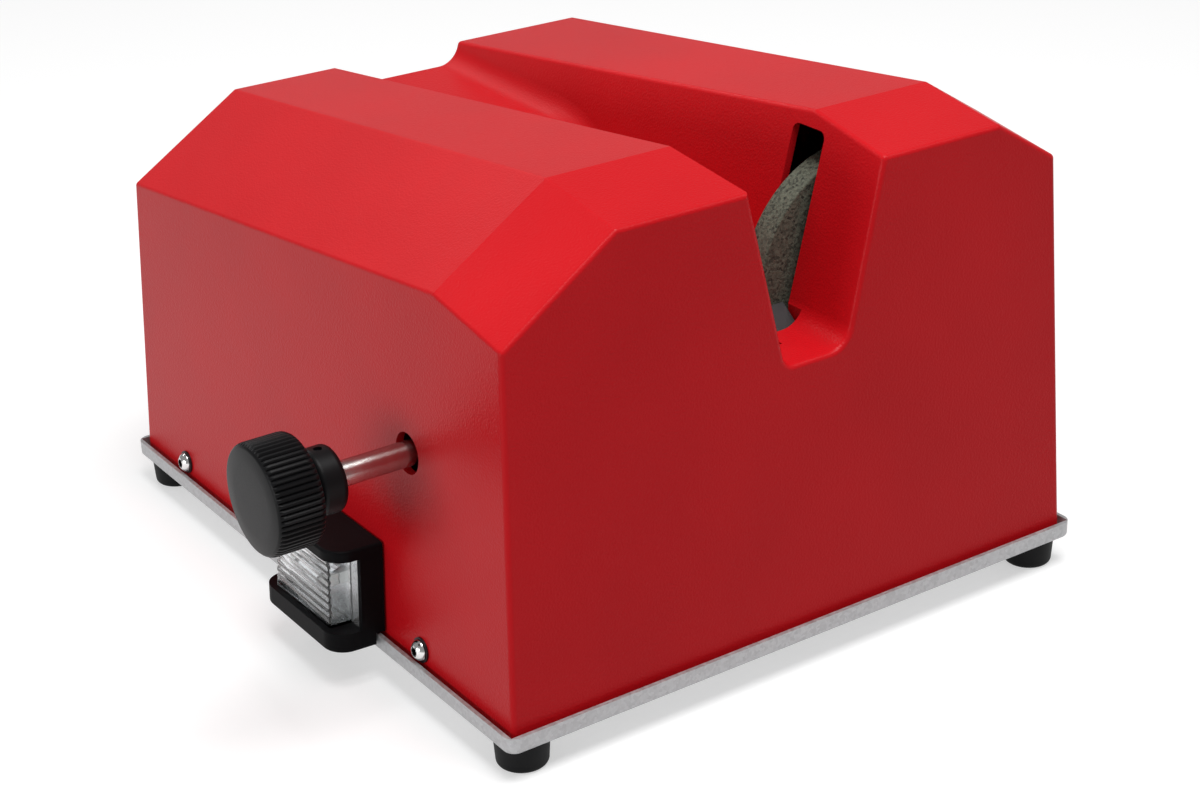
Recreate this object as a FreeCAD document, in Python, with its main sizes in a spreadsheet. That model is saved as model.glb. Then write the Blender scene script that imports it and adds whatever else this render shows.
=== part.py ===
import FreeCAD, Part
import math
import os
import re
import Sketcher

# Bench knife sharpener: two grinding wheels either side of a V groove, in a faceted casing.
# Lengths are millimetres. The model is laid out from the casing's left front bottom corner:
# x runs right along the notched front, y runs back, z runs up from the ground.
# Each piece is then moved by one shared offset so that the origin is the middle of the
# overall footprint on the ground.

doc = FreeCAD.newDocument("knife_sharpener")
sheet = doc.addObject("Spreadsheet::Sheet", "Sizes")
Vector = FreeCAD.Vector
Rotation = FreeCAD.Rotation

# Named sizes
SIZES = [
    # casing
    ("case_width", 330.0),
    ("case_depth", 376.0),
    ("case_height", 231.0),
    ("case_wall", 4.0),
    ("draft_angle", 2.5),
    ("crease_back", 62.0),
    ("roof_front_drop", 10.5),
    ("roof_back_slope", 0.11),
    ("left_chamfer_width", 68.3),
    ("right_chamfer_width", 44.2),
    ("left_chamfer_angle", 33.0),
    ("right_chamfer_angle", 32.0),
    ("edge_round", 2.5),
    # groove
    ("groove_left", 137.0),
    ("groove_right", 217.2),
    ("groove_flare", 0.042),
    ("groove_left_slope", 0.2117),
    ("groove_right_slope", 0.2686),
    ("groove_depth", 94.5),
    ("groove_round_left", 6.0),
    ("groove_round_right", 13.0),
    ("shelf_depth_back", 44.0),
    ("shelf_depth_front", 49.0),
    ("ramp_foot", 140.0),
    ("ramp_crest", 245.0),
    ("ramp_round", 90.0),
    # base tray and feet
    ("tray_sheet", 2.0),
    ("tray_overhang", 4.5),
    ("tray_rim", 8.5),
    ("tray_corner", 6.0),
    ("foot_height", 15.0),
    ("foot_top_radius", 13.0),
    ("foot_bottom_radius", 12.0),
    ("foot_round", 2.5),
    ("foot_inset", 15.5),
    ("foot_screw_radius", 2.5),
    ("foot_head_radius", 5.0),
    # casing screws
    ("screw_radius", 2.5),
    ("screw_head_radius", 5.2),
    ("screw_head_height", 3.2),
    ("screw_round", 2.0),
    ("screw_height", 12.2),
    ("screw_front", 78.0),
    ("screw_back_inset", 51.0),
    ("washer_radius", 6.1),
    ("washer_thick", 1.0),
    ("hole_clearance", 0.25),
    ("tab_sole", 10.0),
    ("fit_gap", 0.3),
    ("side_gap", 0.3),
    # feed screw and knob
    ("feed_back", 87.0),
    ("feed_level", 125.0),
    ("feed_radius", 6.0),
    ("feed_pitch", 3.0),
    ("feed_hole_radius", 10.0),
    ("knob_reach", 73.0),
    ("knob_radius", 26.0),
    ("knob_length", 23.5),
    ("knob_bevel", 2.5),
    ("flute_radius", 1.1),
    ("flute_count", 54),
    ("recess_radius", 13.5),
    ("recess_length", 3.5),
    ("collar_radius", 15.6),
    ("collar_length", 13.3),
    ("collar_round", 3.0),
    ("running_gap", 0.05),
    ("bracket_x", 18.0),
    ("bracket_thick", 8.0),
    ("thrust_radius", 11.0),
    ("thrust_length", 5.0),
    ("bush_wall", 2.0),
    ("nut_start", 36.0),
    ("nut_length", 16.0),
    ("nut_radius", 10.0),
    ("arm_thick", 6.0),
    ("arm_half_width", 10.0),
    # wheels
    ("wheel_radius", 62.5),
    ("wheel_thick", 14.0),
    ("wheel_round", 1.0),
    ("wheel_level", 164.0),
    ("right_wheel_x", 242.5),
    ("right_wheel_y", 62.5),
    ("left_wheel_x", 97.5),
    ("left_wheel_y", 40.0),
    ("flange_radius", 20.0),
    ("flange_thick", 4.5),
    ("arbor_nut_radius", 10.0),
    ("arbor_nut_length", 7.0),
    ("arbor_radius", 8.0),
    ("slot_clearance", 4.5),
    ("slot_top", 240.0),
    ("slot_round", 4.0),
    ("guard_gap", 2.0),
    ("guard_sheet", 1.5),
    ("guard_reach", 3.5),
    ("guard_top", 146.0),
    ("guard_eye", 24.0),
    ("guard_lip_depth", 10.0),
    ("guard_lip_drop", 1.5),
    ("guard_lip_rise", 9.0),
    ("guard_lip_inset", 7.5),
    ("cutout_right", 193.5),
    ("cutout_gap", 1.0),
    # motors
    ("motor_radius", 34.0),
    ("motor_length", 95.0),
    ("motor_front", 85.0),
    ("motor_plate", 6.0),
    ("motor_plate_half", 30.0),
    ("motor_plate_top", 200.0),
    ("motor_spigot", 14.0),
    ("end_cap_length", 12.0),
    ("base_plate_thick", 8.0),
    ("base_plate_back", 190.0),
    ("base_plate_front", 72.0),
    ("right_plate_half", 38.0),
    # slide of the left motor
    ("rod_radius", 5.0),
    ("rod_level", 36.0),
    ("rod_front", 90.0),
    ("rod_back", 172.0),
    ("rod_start", 16.0),
    ("rod_end", 182.0),
    ("support_thick", 12.0),
    ("support_top", 44.0),
    ("support_margin", 14.0),
    ("carriage_level", 46.0),
    ("carriage_right", 134.0),
    ("bearing_half", 9.0),
    ("bearing_length", 20.0),
    ("slide_travel", 10.0),
    # lamp on the left wall
    ("lamp_y", 147.5),
    ("lamp_level", 18.0),
    ("lamp_width", 74.0),
    ("lamp_height", 53.0),
    ("lamp_depth", 27.0),
    ("lamp_back_depth", 12.0),
    ("lamp_corner", 11.0),
    ("lamp_cap", 5.5),
    ("lamp_lip", 10.0),
    ("lamp_gasket", 1.0),
    ("lamp_rim_clear", 6.5),
    ("lamp_edge", 1.5),
    ("lamp_wall", 3.0),
    ("lens_wall", 2.0),
    ("lens_inset", 3.3),
    ("lens_end_inset", 10.0),
    ("lens_gap", 0.2),
    ("lens_corner", 2.0),
    ("bulb_radius", 4.0),
    ("bulb_gap", 0.8),
    ("clip_half", 3.0),
    ("bulb_length", 30.0),
    ("bulb_cap", 4.0),
    ("clip_sheet", 0.8),
    # back wall fittings
    ("inlet_x", 62.0),
    ("switch_x", 112.0),
    ("socket_level", 62.0),
    ("inlet_half_width", 15.0),
    ("inlet_half_height", 12.0),
    ("switch_half_width", 10.0),
    ("switch_half_height", 14.0),
    ("flange_plate", 2.0),
    ("fitting_depth", 24.0),
    ("rocker_radius", 9.0),
    ("rocker_half", 7.6),
    ("rocker_flat", 1.5),
    ("rocker_tilt", 8.0),
    ("rocker_depth", 14.0),
    ("rocker_sunk", 4.0),
    ("rocker_pin_radius", 1.5),
    # electrical pieces on the tray
    ("capacitor_radius", 16.0),
    ("capacitor_length", 62.0),
    ("capacitor_inset", 121.0),
    ("capacitor_x", 70.0),
    ("capacitor_pitch", 46.0),
    ("block_x", 160.0),
    ("block_inset", 126.0),
]
for row, (alias, value) in enumerate(SIZES, start=1):
    sheet.set("A%d" % row, alias)
    sheet.set("B%d" % row, str(value))
    sheet.setAlias("B%d" % row, alias)

# Sizes that follow from the named ones
DERIVED = [
    ("case_floor", "foot_height + tray_sheet"),
    ("roof_level", "case_floor + case_height"),
    ("lean", "tan(draft_angle * 1deg)"),
    ("groove_floor", "roof_level - groove_depth"),
    ("tray_left", "-tray_overhang"),
    ("tray_right", "case_width + tray_overhang"),
    ("origin_x", "(tray_right - knob_reach) / 2"),
    ("origin_y", "case_depth / 2"),
    ("guard_inner", "wheel_radius + guard_reach"),
    ("guard_half", "wheel_thick / 2 + guard_gap + guard_sheet"),
    ("slot_half", "wheel_thick / 2 + slot_clearance"),
    ("arm_start", "nut_start + nut_length"),
    ("feed_end", "arm_start + arm_thick + 2"),
    ("screw_back", "case_depth - screw_back_inset"),
    ("capacitor_y", "case_depth - capacitor_inset"),
    ("block_y", "case_depth - block_inset"),
    ("left_slot_end", "left_wheel_x + wheel_radius + slide_travel + 2"),
]
first_derived = len(SIZES) + 1
for row, (alias, formula) in enumerate(DERIVED, start=first_derived):
    sheet.set("A%d" % row, alias)
    sheet.set("B%d" % row, "=" + formula)
    sheet.setAlias("B%d" % row, alias)
doc.recompute()

ALIASES = sorted([name for name, _ in SIZES + DERIVED], key=len, reverse=True)


def size(name):
    return float(sheet.get(name))


def bind(formula):
    """Write a formula of named sizes with the sheet's prefix."""
    names = "|".join(ALIASES)
    return re.sub(r"\b(%s)\b" % names, r"Sizes.\1", str(formula))


def lock(obj, prop, formula):
    obj.setExpression(prop, bind(formula))


def put(obj, x="0", y="0", z="0", axis=None, angle="0"):
    """Place an object by formulas, turned about an axis."""
    if axis is not None:
        obj.Placement = FreeCAD.Placement(Vector(0, 0, 0), Rotation(Vector(*axis), 1.0))
        lock(obj, "Placement.Rotation.Angle", angle)
    lock(obj, "Placement.Base.x", x)
    lock(obj, "Placement.Base.y", y)
    lock(obj, "Placement.Base.z", z)
    return obj


def box(name, x, y, z, dx, dy, dz):
    """A box from its low corner and its three sizes."""
    obj = doc.addObject("Part::Box", name)
    lock(obj, "Length", dx)
    lock(obj, "Width", dy)
    lock(obj, "Height", dz)
    return put(obj, x, y, z)


TURNS = {
    "x": ((0, 1, 0), "90deg"),
    "-x": ((0, 1, 0), "-90deg"),
    "y": ((1, 0, 0), "-90deg"),
    "-y": ((1, 0, 0), "90deg"),
    "z": (None, "0"),
}


def rod(name, radius, length, x, y, z, axis="z"):
    """A cylinder that starts at x, y, z and runs along an axis."""
    obj = doc.addObject("Part::Cylinder", name)
    lock(obj, "Radius", radius)
    lock(obj, "Height", length)
    turn, angle = TURNS[axis]
    return put(obj, x, y, z, turn, angle)


def cone(name, radius_a, radius_b, length, x, y, z, axis="z"):
    obj = doc.addObject("Part::Cone", name)
    lock(obj, "Radius1", radius_a)
    lock(obj, "Radius2", radius_b)
    lock(obj, "Height", length)
    turn, angle = TURNS[axis]
    return put(obj, x, y, z, turn, angle)


def hexagon(name, radius, length, x, y, z, axis="z"):
    obj = doc.addObject("Part::Prism", name)
    obj.Polygon = 6
    lock(obj, "Circumradius", radius)
    lock(obj, "Height", length)
    turn, angle = TURNS[axis]
    return put(obj, x, y, z, turn, angle)


def cut(name, base, *tools):
    """The base less each tool in turn."""
    result = base
    for number, tool in enumerate(tools):
        last = number == len(tools) - 1
        step = doc.addObject("Part::Cut", name if last else "%s_step%d" % (name, number))
        step.Base = result
        step.Tool = tool
        result = step
    return result


def join(name, *shapes):
    obj = doc.addObject("Part::MultiFuse", name)
    obj.Shapes = list(shapes)
    return obj


def common(name, first, second):
    obj = doc.addObject("Part::Common", name)
    obj.Base = first
    obj.Tool = second
    return obj


def several(name, *shapes):
    """Equal pieces kept as separate solids in one node."""
    obj = doc.addObject("Part::Compound", name)
    obj.Links = list(shapes)
    return obj


def rounded(name, base, radius, wanted):
    """Fillet the edges that the test picks, with a named radius."""
    doc.recompute()
    picked = []
    for number, edge in enumerate(base.Shape.Edges, start=1):
        if wanted(edge):
            picked.append((number, size(radius), size(radius)))
    obj = doc.addObject("Part::Fillet", name)
    obj.Base = base
    obj.Edges = picked
    doc.recompute()
    return obj


def polygon(name, points, plane="xz", offset="0"):
    """A closed sketch whose corners are held by formulas."""
    sketch = doc.addObject("Sketcher::SketchObject", name)
    turn = {
        "xy": Rotation(),
        "xz": Rotation(Vector(1, 0, 0), 90),
        "yz": Rotation(Vector(1, 1, 1), 120),
    }[plane]
    sketch.Placement = FreeCAD.Placement(Vector(0, 0, 0), turn)
    along = {"xy": "z", "xz": "y", "yz": "x"}[plane]
    lock(sketch, "Placement.Base.%s" % along, offset)
    count = len(points)
    start = [Vector(value_of(px), value_of(py), 0) for px, py in points]
    for n in range(count):
        sketch.addGeometry(Part.LineSegment(start[n], start[(n + 1) % count]), False)
    for n in range(count):
        sketch.addConstraint(Sketcher.Constraint("Coincident", n, 2, (n + 1) % count, 1))
    for n, (px, py) in enumerate(points):
        first = sketch.addConstraint(
            Sketcher.Constraint("DistanceX", -1, 1, n, 1, start[n].x))
        second = sketch.addConstraint(
            Sketcher.Constraint("DistanceY", -1, 1, n, 1, start[n].y))
        lock(sketch, "Constraints[%d]" % first, px)
        lock(sketch, "Constraints[%d]" % second, py)
    return sketch


def value_of(formula):
    """The present value of a formula, for a sketch's starting shape."""
    probe = doc.getObject("Probe") or doc.addObject("App::FeaturePython", "Probe")
    if "value" not in probe.PropertiesList:
        probe.addProperty("App::PropertyFloat", "value")
    return float(probe.evalExpression(bind(formula)))


def extrusion(name, sketch, dx, dy, dz):
    """A sketch swept along a straight line given by formulas."""
    obj = doc.addObject("Part::Extrusion", name)
    obj.Base = sketch
    obj.DirMode = "Custom"
    obj.Solid = True
    length = "sqrt((%s)^2 + (%s)^2 + (%s)^2)" % (dx, dy, dz)
    lock(obj, "Dir.x", dx)
    lock(obj, "Dir.y", dy)
    lock(obj, "Dir.z", dz)
    lock(obj, "LengthFwd", length)
    return obj


# Finished pieces by node name
pieces = {}


def piece(name, shape):
    """Keep a finished piece: its label, and its move to the shared origin."""
    holder = doc.addObject("Part::Compound", "Piece_" + name)
    holder.Links = [shape]
    holder.Label = name
    put(holder, "-origin_x", "-origin_y", "0")
    pieces[name] = holder
    return holder


# The faceted form of the casing, grown inward by a given amount
def faceted_form(tag, inset, low):
    high = "roof_level + 30"
    low_lean = "lean * (%s - case_floor)" % low
    high_lean = "lean * (%s - case_floor)" % high
    views = []
    for view, width in (("xz", "case_width"), ("yz", "case_depth")):
        views.append(polygon("%s_%s" % (tag, view), [
            ("%s + %s" % (inset, low_lean), low),
            ("%s - %s - %s" % (width, inset, low_lean), low),
            ("%s - %s - %s" % (width, inset, high_lean), high),
            ("%s + %s" % (inset, high_lean), high),
        ], view, "-30"))
    seen_front = extrusion(tag + "_seen_front", views[0], "0", "case_depth + 60", "0")
    seen_side = extrusion(tag + "_seen_side", views[1], "case_width + 60", "0", "0")
    block = common(tag + "_block", seen_front, seen_side)

    # roof: slopes down to the front face before the crease and gently down behind it
    crest = "roof_level - %s" % inset
    roof = polygon(tag + "_roof", [
        ("-40", "%s - roof_front_drop * (crease_back + 40) / crease_back" % crest),
        ("crease_back", crest),
        ("case_depth + 40", "%s - roof_back_slope * (case_depth + 40 - crease_back)" % crest),
        ("case_depth + 40", "roof_level + 60"),
        ("-40", "roof_level + 60"),
    ], "yz", "-40")
    roof_tool = extrusion(tag + "_roof_tool", roof, "case_width + 80", "0", "0")

    # side chamfers: each follows the bent roof
    tools = [roof_tool]
    sides = (
        ("left", "left_chamfer_width", "-1", "left_chamfer_angle"),
        ("right", "case_width - right_chamfer_width", "1", "right_chamfer_angle"),
    )
    for side, edge, way, angle in sides:
        turn = "(%s * 1deg)" % angle
        # the chamfer plane moves inward by the inset, measured square to it
        base_x = "%s - (%s) * %s * sin%s" % (edge, way, inset, turn)
        base_z = "roof_level - %s * cos%s" % (inset, turn)
        reach = "150"
        corner = polygon("%s_%s_corner" % (tag, side), [
            ("%s - (%s) * %s * cos%s" % (base_x, way, reach, turn),
             "%s + %s * sin%s" % (base_z, reach, turn)),
            ("%s + (%s) * %s * cos%s" % (base_x, way, reach, turn),
             "%s - %s * sin%s" % (base_z, reach, turn)),
            ("%s + (%s) * (%s * cos%s + %s * sin%s)" % (base_x, way, reach, turn, reach, turn),
             "%s - %s * sin%s + %s * cos%s" % (base_z, reach, turn, reach, turn)),
            ("%s - (%s) * (%s * cos%s - %s * sin%s)" % (base_x, way, reach, turn, reach, turn),
             "%s + %s * sin%s + %s * cos%s" % (base_z, reach, turn, reach, turn)),
        ], "xz", "crease_back")
        tools.append(extrusion("%s_%s_rear" % (tag, side), corner,
                               "0", "case_depth", "-roof_back_slope * case_depth"))
        tools.append(extrusion("%s_%s_front" % (tag, side), corner,
                               "0", "-(crease_back + 40)",
                               "-roof_front_drop * (crease_back + 40) / crease_back"))
    return cut(tag + "_form", block, *tools)


# The groove as a solid, grown outward by a given amount
def groove_form(tag, grow):
    top = "roof_level + 30"
    bottom = "groove_floor - 10"
    drop = "(groove_depth + 10)"
    run = "(case_depth + 60)"
    left_top = "groove_left + groove_flare * 30 - %s - groove_left_slope * 30" % grow
    left_low = "groove_left + groove_flare * 30 - %s + groove_left_slope * %s" % (grow, drop)
    right_top = "groove_right + %s + groove_right_slope * 30" % grow
    right_low = "groove_right + %s - groove_right_slope * %s" % (grow, drop)
    # the left wall runs a little outward towards the back, the right wall runs straight
    flared = polygon(tag + "_flared", [
        (left_top, top), (left_low, bottom),
        (right_low + " - 2", bottom), (right_top + " - 2", top),
    ], "xz", "-30")
    straight = polygon(tag + "_straight", [
        (left_top + " + 2", top), (left_low + " + 2", bottom),
        (right_low, bottom), (right_top, top),
    ], "xz", "-30")
    walls = join(
        tag + "_walls",
        extrusion(tag + "_flared_run", flared, "-groove_flare * " + run, run, "0"),
        extrusion(tag + "_straight_run", straight, "0", run, "0"),
    )
    bed = polygon(tag + "_bed_line", [
        ("-40", "groove_floor - %s" % grow),
        ("ramp_foot", "groove_floor - %s" % grow),
        ("ramp_crest", "roof_level - shelf_depth_front - %s" % grow),
        ("case_depth + 40", "roof_level - shelf_depth_back - %s" % grow),
        ("case_depth + 40", "groove_floor - 90"),
        ("-40", "groove_floor - 90"),
    ], "yz", "-20")
    bed_block = extrusion(tag + "_bed", bed, "case_width + 40", "0", "0")

    def bend(edge):
        a, b = edge.Vertexes[0].Point, edge.Vertexes[-1].Point
        if abs(a.x - b.x) < 1:
            return False
        at_foot = abs(a.y - size("ramp_foot")) < 0.01
        at_crest = abs(a.y - size("ramp_crest")) < 0.01
        return at_foot or at_crest

    smooth_bed = rounded(tag + "_smooth_bed", bed_block, "ramp_round", bend)
    return cut(tag + "_groove", walls, smooth_bed)


def along_bed(edge):
    """Edges where the groove's walls meet its floor."""
    box_ = edge.BoundBox
    low = size("groove_floor") - 0.5
    high = size("roof_level") - size("shelf_depth_back") + 12
    return box_.YLength > 20 and box_.ZMin > low and box_.ZMax < high


def on_right(edge):
    middle = (size("groove_left") + size("groove_right")) / 2
    return edge.BoundBox.Center.x > middle


outer_block = faceted_form("outer", "0", "case_floor")
right_soft = rounded("outer_groove_right_soft", groove_form("outer", "0"), "groove_round_right",
                     lambda e: along_bed(e) and on_right(e))
outer_groove = rounded("outer_groove_soft", right_soft, "groove_round_left",
                       lambda e: along_bed(e) and not on_right(e))
outer = cut("outer_all", outer_block, outer_groove)


def outer_edge(edge):
    """Edges that show a rounded highlight: all but the crease, the base and the groove's bed."""
    b = edge.BoundBox
    at_base = b.ZMax < size("case_floor") + 1
    at_crease = b.YLength < 0.1 and abs(b.YMin - size("crease_back")) < 0.1
    left = size("groove_left") - size("groove_flare") * size("case_depth") - 1
    right = size("groove_right") - 5
    in_groove = b.XMin > left and b.XMax < right and b.YLength > 1.5
    return not at_base and not at_crease and not in_groove


soft_outer = rounded("soft_outer", outer, "edge_round", outer_edge)
hollow_block = faceted_form("inner", "case_wall", "case_floor - 5")
hollow_groove = groove_form("inner", "case_wall")
hollow = cut("hollow_all", hollow_block, hollow_groove)

# Slots that let the wheels into the groove: an opening in the bed and a tall one in the wall
slots = []
SLOTS = [
    ("right", "right_wheel_y", "right_wheel_x - wheel_radius - 6", "50",
     "right_wheel_x - wheel_radius + 4", "60"),
    ("left", "left_wheel_y", "left_wheel_x + 30", "left_slot_end - left_wheel_x - 30",
     "left_wheel_x + 16", "wheel_radius - 16"),
]
for side, place, bed_start, bed_run, wall_start, wall_run in SLOTS:
    slots.append(box(side + "_bed_slot", bed_start, place + " - slot_half", "groove_floor - 12",
                     bed_run, "2 * slot_half", "20"))
    tall = box(side + "_wall_slot", wall_start, place + " - slot_half", "groove_floor - 12",
               wall_run, "2 * slot_half", "slot_top - groove_floor + 12")
    slots.append(rounded(side + "_soft_slot", tall, "slot_round",
                         lambda e: e.BoundBox.XLength > 10 and e.BoundBox.ZMin > size("slot_top") - 1))

cutout_front = "right_wheel_y - guard_half - guard_lip_depth - cutout_gap"
slots.append(box("bed_cutout", "left_slot_end - 1", cutout_front, "groove_floor - 12",
                 "cutout_right - left_slot_end + 1", "guard_lip_depth + guard_half", "24"))
feed_hole = rod("feed_hole", "feed_hole_radius", "40", "-10", "feed_back", "feed_level", "x")
SCREWS = [(side, place) for side in ("left", "right") for place in ("screw_front", "screw_back")]
screw_holes = []
for side, place in SCREWS:
    start = "-10" if side == "left" else "case_width - 20"
    screw_holes.append(rod("%s_%s_hole" % (side, place), "screw_radius + hole_clearance", "30",
                           start, place, "case_floor + screw_height", "x"))
inlet_hole = box("inlet_hole", "inlet_x - inlet_half_width - fit_gap", "case_depth - 30",
                 "socket_level - inlet_half_height - fit_gap",
                 "2 * inlet_half_width + 2 * fit_gap", "40",
                 "2 * inlet_half_height + 2 * fit_gap")
switch_hole = box("switch_hole", "switch_x - switch_half_width - fit_gap", "case_depth - 30",
                  "socket_level - switch_half_height - fit_gap",
                  "2 * switch_half_width + 2 * fit_gap", "40",
                  "2 * switch_half_height + 2 * fit_gap")
shell = cut("casing_shell", soft_outer, hollow)
casing = cut("casing_all", shell, *slots, feed_hole, *screw_holes, inlet_hole, switch_hole)
piece("casing", casing)

# Base tray: folded sheet with an upturned rim and rounded corners
tray_block = box("tray_block", "tray_left", "tray_left", "foot_height",
                 "case_width + 2 * tray_overhang", "case_depth + 2 * tray_overhang", "tray_rim")
tray_soft = rounded("tray_soft", tray_block, "tray_corner",
                    lambda e: e.BoundBox.ZLength > 5)
tray_edge = rounded("tray_edge", tray_soft, "tray_sheet",
                    lambda e: e.BoundBox.ZMax < size("foot_height") + 0.01)
tray_inside = box("tray_inside", "tray_left + tray_sheet", "tray_left + tray_sheet", "case_floor",
                  "case_width + 2 * tray_overhang - 2 * tray_sheet",
                  "case_depth + 2 * tray_overhang - 2 * tray_sheet", "tray_rim")
FEET = [
    ("left_front", "tray_left + foot_inset", "tray_left + foot_inset"),
    ("right_front", "tray_right - foot_inset", "tray_left + foot_inset"),
    ("left_back", "tray_left + foot_inset", "case_depth + tray_overhang - foot_inset"),
    ("right_back", "tray_right - foot_inset", "case_depth + tray_overhang - foot_inset"),
]
tray_holes = []
for name, x, y in FEET:
    tray_holes.append(rod("tray_hole_" + name, "foot_screw_radius + hole_clearance", "20",
                          x, y, "foot_height - 5"))
piece("base_tray", cut("tray_all", tray_edge, tray_inside, *tray_holes))

# Rubber feet, each held by a screw and a nut
foot_screws = []
foot_nuts = []
for name, x, y in FEET:
    body = cone("foot_cone_" + name, "foot_bottom_radius", "foot_top_radius", "foot_height",
                x, y, "0")
    soft = rounded("foot_soft_" + name, body, "foot_round",
                   lambda e: e.BoundBox.ZMax < 0.01)
    bore = rod("foot_bore_" + name, "foot_screw_radius + hole_clearance", "foot_height + 2",
               x, y, "-1")
    sink = rod("foot_sink_" + name, "foot_head_radius + 1", "8", x, y, "-1")
    piece("foot_" + name, cut("foot_all_" + name, soft, bore, sink))
    head = rod("foot_head_" + name, "foot_head_radius", "3", x, y, "4")
    shank = rod("foot_shank_" + name, "foot_screw_radius", "foot_height", x, y, "7")
    foot_screws.append(join("foot_screw_" + name, head, shank))
    nut = hexagon("foot_nut_hex_" + name, "4.6", "4", x, y, "case_floor")
    nut_bore = rod("foot_nut_bore_" + name, "foot_screw_radius + running_gap", "6",
                   x, y, "case_floor - 1")
    foot_nuts.append(cut("foot_nut_" + name, nut, nut_bore))
piece("foot_screws", several("foot_screw_set", *foot_screws))
piece("foot_nuts", several("foot_nut_set", *foot_nuts))


def outward(name, side, place, radius, length, start):
    """A cylinder square to the leaning side wall, from a start counted outward of the wall."""
    way = "-1" if side == "left" else "1"
    wall_x = "lean * screw_height"
    if side == "right":
        wall_x = "case_width - lean * screw_height"
    obj = doc.addObject("Part::Cylinder", name)
    lock(obj, "Radius", radius)
    lock(obj, "Height", length)
    reach_x = "%s + (%s) * (%s) * cos(draft_angle * 1deg)" % (wall_x, way, start)
    reach_z = "case_floor + screw_height + (%s) * sin(draft_angle * 1deg)" % start
    return put(obj, reach_x, place, reach_z, (0, 1, 0),
               "(%s) * (90deg - draft_angle * 1deg)" % way)


# Casing screws: button heads on washers, square to the leaning walls, into angle tabs
screws = []
washers = []
tabs = []
for side, place in SCREWS:
    tag = "%s_%s" % (side, place)
    level = "case_floor + screw_height"
    washer = outward("washer_disc_" + tag, side, place, "washer_radius", "washer_thick", "0.02")
    washer_bore = outward("washer_bore_" + tag, side, place, "screw_radius + hole_clearance",
                          "4", "-1")
    washers.append(cut("washer_" + tag, washer, washer_bore))
    head = outward("screw_head_" + tag, side, place, "screw_head_radius", "screw_head_height",
                   "washer_thick + 0.04")
    middle = size("case_width") / 2
    far = size("washer_thick") + size("screw_head_height") - 0.6

    def outer_rim(edge, middle=middle, far=far):
        reach = abs(edge.BoundBox.Center.x - middle) - middle
        return edge.BoundBox.YLength > 9 and reach > far

    dome = rounded("screw_dome_" + tag, head, "screw_round", outer_rim)
    socket = outward("screw_socket_" + tag, side, place, "1.6", "3",
                     "washer_thick + screw_head_height - 1.7")
    drilled = cut("screw_drilled_" + tag, dome, socket)
    shank = outward("screw_shank_" + tag, side, place, "screw_radius", "16",
                    "washer_thick + 0.5 - 16")
    screws.append(join("screw_" + tag, drilled, shank))

    # angle tab: an upright leaf behind the wall, a sole on the tray and a boss for the screw
    leaf_x = "case_wall + lean * 23 + 0.3"
    sole_x = leaf_x
    boss_x = leaf_x + " + 2"
    if side == "right":
        leaf_x = "case_width - case_wall - lean * 23 - 2.3"
        sole_x = leaf_x + " + 2 - tab_sole"
        boss_x = leaf_x + " - 3"
    leaf = box("tab_leaf_" + tag, leaf_x, place + " - 9", "case_floor", "2", "18", "22")
    sole = box("tab_sole_" + tag, sole_x, place + " - 9", "case_floor", "tab_sole", "18", "2")
    boss = rod("tab_boss_" + tag, "5", "3", boss_x, place, level, "x")
    leaf_hole = outward("tab_hole_" + tag, side, place, "screw_radius + 2 * hole_clearance",
                        "40", "-30")
    tabs.append(cut("tab_" + tag, join("tab_solid_" + tag, leaf, sole, boss), leaf_hole))
piece("casing_screws", several("screw_set", *screws))
piece("screw_washers", several("washer_set", *washers))
piece("angle_tabs", several("tab_set", *tabs))

# Knob: fluted head, dark recess and smooth collar on the feed shaft
face_x = "-knob_reach"
head_end = "-knob_reach + knob_length"
collar_start = head_end + " + recess_length"
knob_blank = rod("knob_blank", "knob_radius", "knob_length", face_x, "feed_back", "feed_level", "x")
knob_bevelled = rounded("knob_bevelled", knob_blank, "knob_bevel",
                        lambda e: e.BoundBox.XMax < -size("knob_reach") + 0.01)
flutes = []
for number in range(int(size("flute_count"))):
    turn = "(360deg * %d / flute_count)" % number
    flutes.append(rod("flute_%d" % number, "flute_radius", "knob_length",
                      face_x + " + knob_bevel + 1",
                      "feed_back + (knob_radius + 0.3) * cos%s" % turn,
                      "feed_level + (knob_radius + 0.3) * sin%s" % turn, "x"))
neck = rod("knob_neck", "recess_radius", "recess_length", head_end, "feed_back", "feed_level", "x")
knob_bore = rod("knob_bore", "feed_radius", "knob_length + recess_length", face_x + " + 6",
                "feed_back", "feed_level", "x")
knob_fluted = cut("knob_fluted", knob_bevelled, several("flute_ring", *flutes))
piece("knob_head", cut("knob_all", join("knob_solid", knob_fluted, neck), knob_bore))

collar_blank = rod("collar_blank", "collar_radius", "collar_length", collar_start,
                   "feed_back", "feed_level", "x")
collar_soft = rounded("collar_soft", collar_blank, "collar_round",
                      lambda e: e.BoundBox.YLength > 5 and e.BoundBox.XLength < 0.01)
collar_bore = rod("collar_bore", "feed_radius", "collar_length + 2", collar_start + " - 1",
                  "feed_back", "feed_level", "x")
grub_x = collar_start + " + collar_length / 2"
grub_hole = rod("grub_hole", "2", "20", grub_x, "feed_back", "feed_level + 1")
piece("knob_collar", cut("collar_all", collar_soft, collar_bore, grub_hole))
grub = rod("grub_blank", "2", "collar_radius - feed_radius - 1.5", grub_x, "feed_back",
           "feed_level + feed_radius")
grub_key = hexagon("grub_key", "1", "3", grub_x, "feed_back",
                   "feed_level + collar_radius - 3.5")
piece("knob_grub_screw", cut("grub_all", grub, grub_key))

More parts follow.
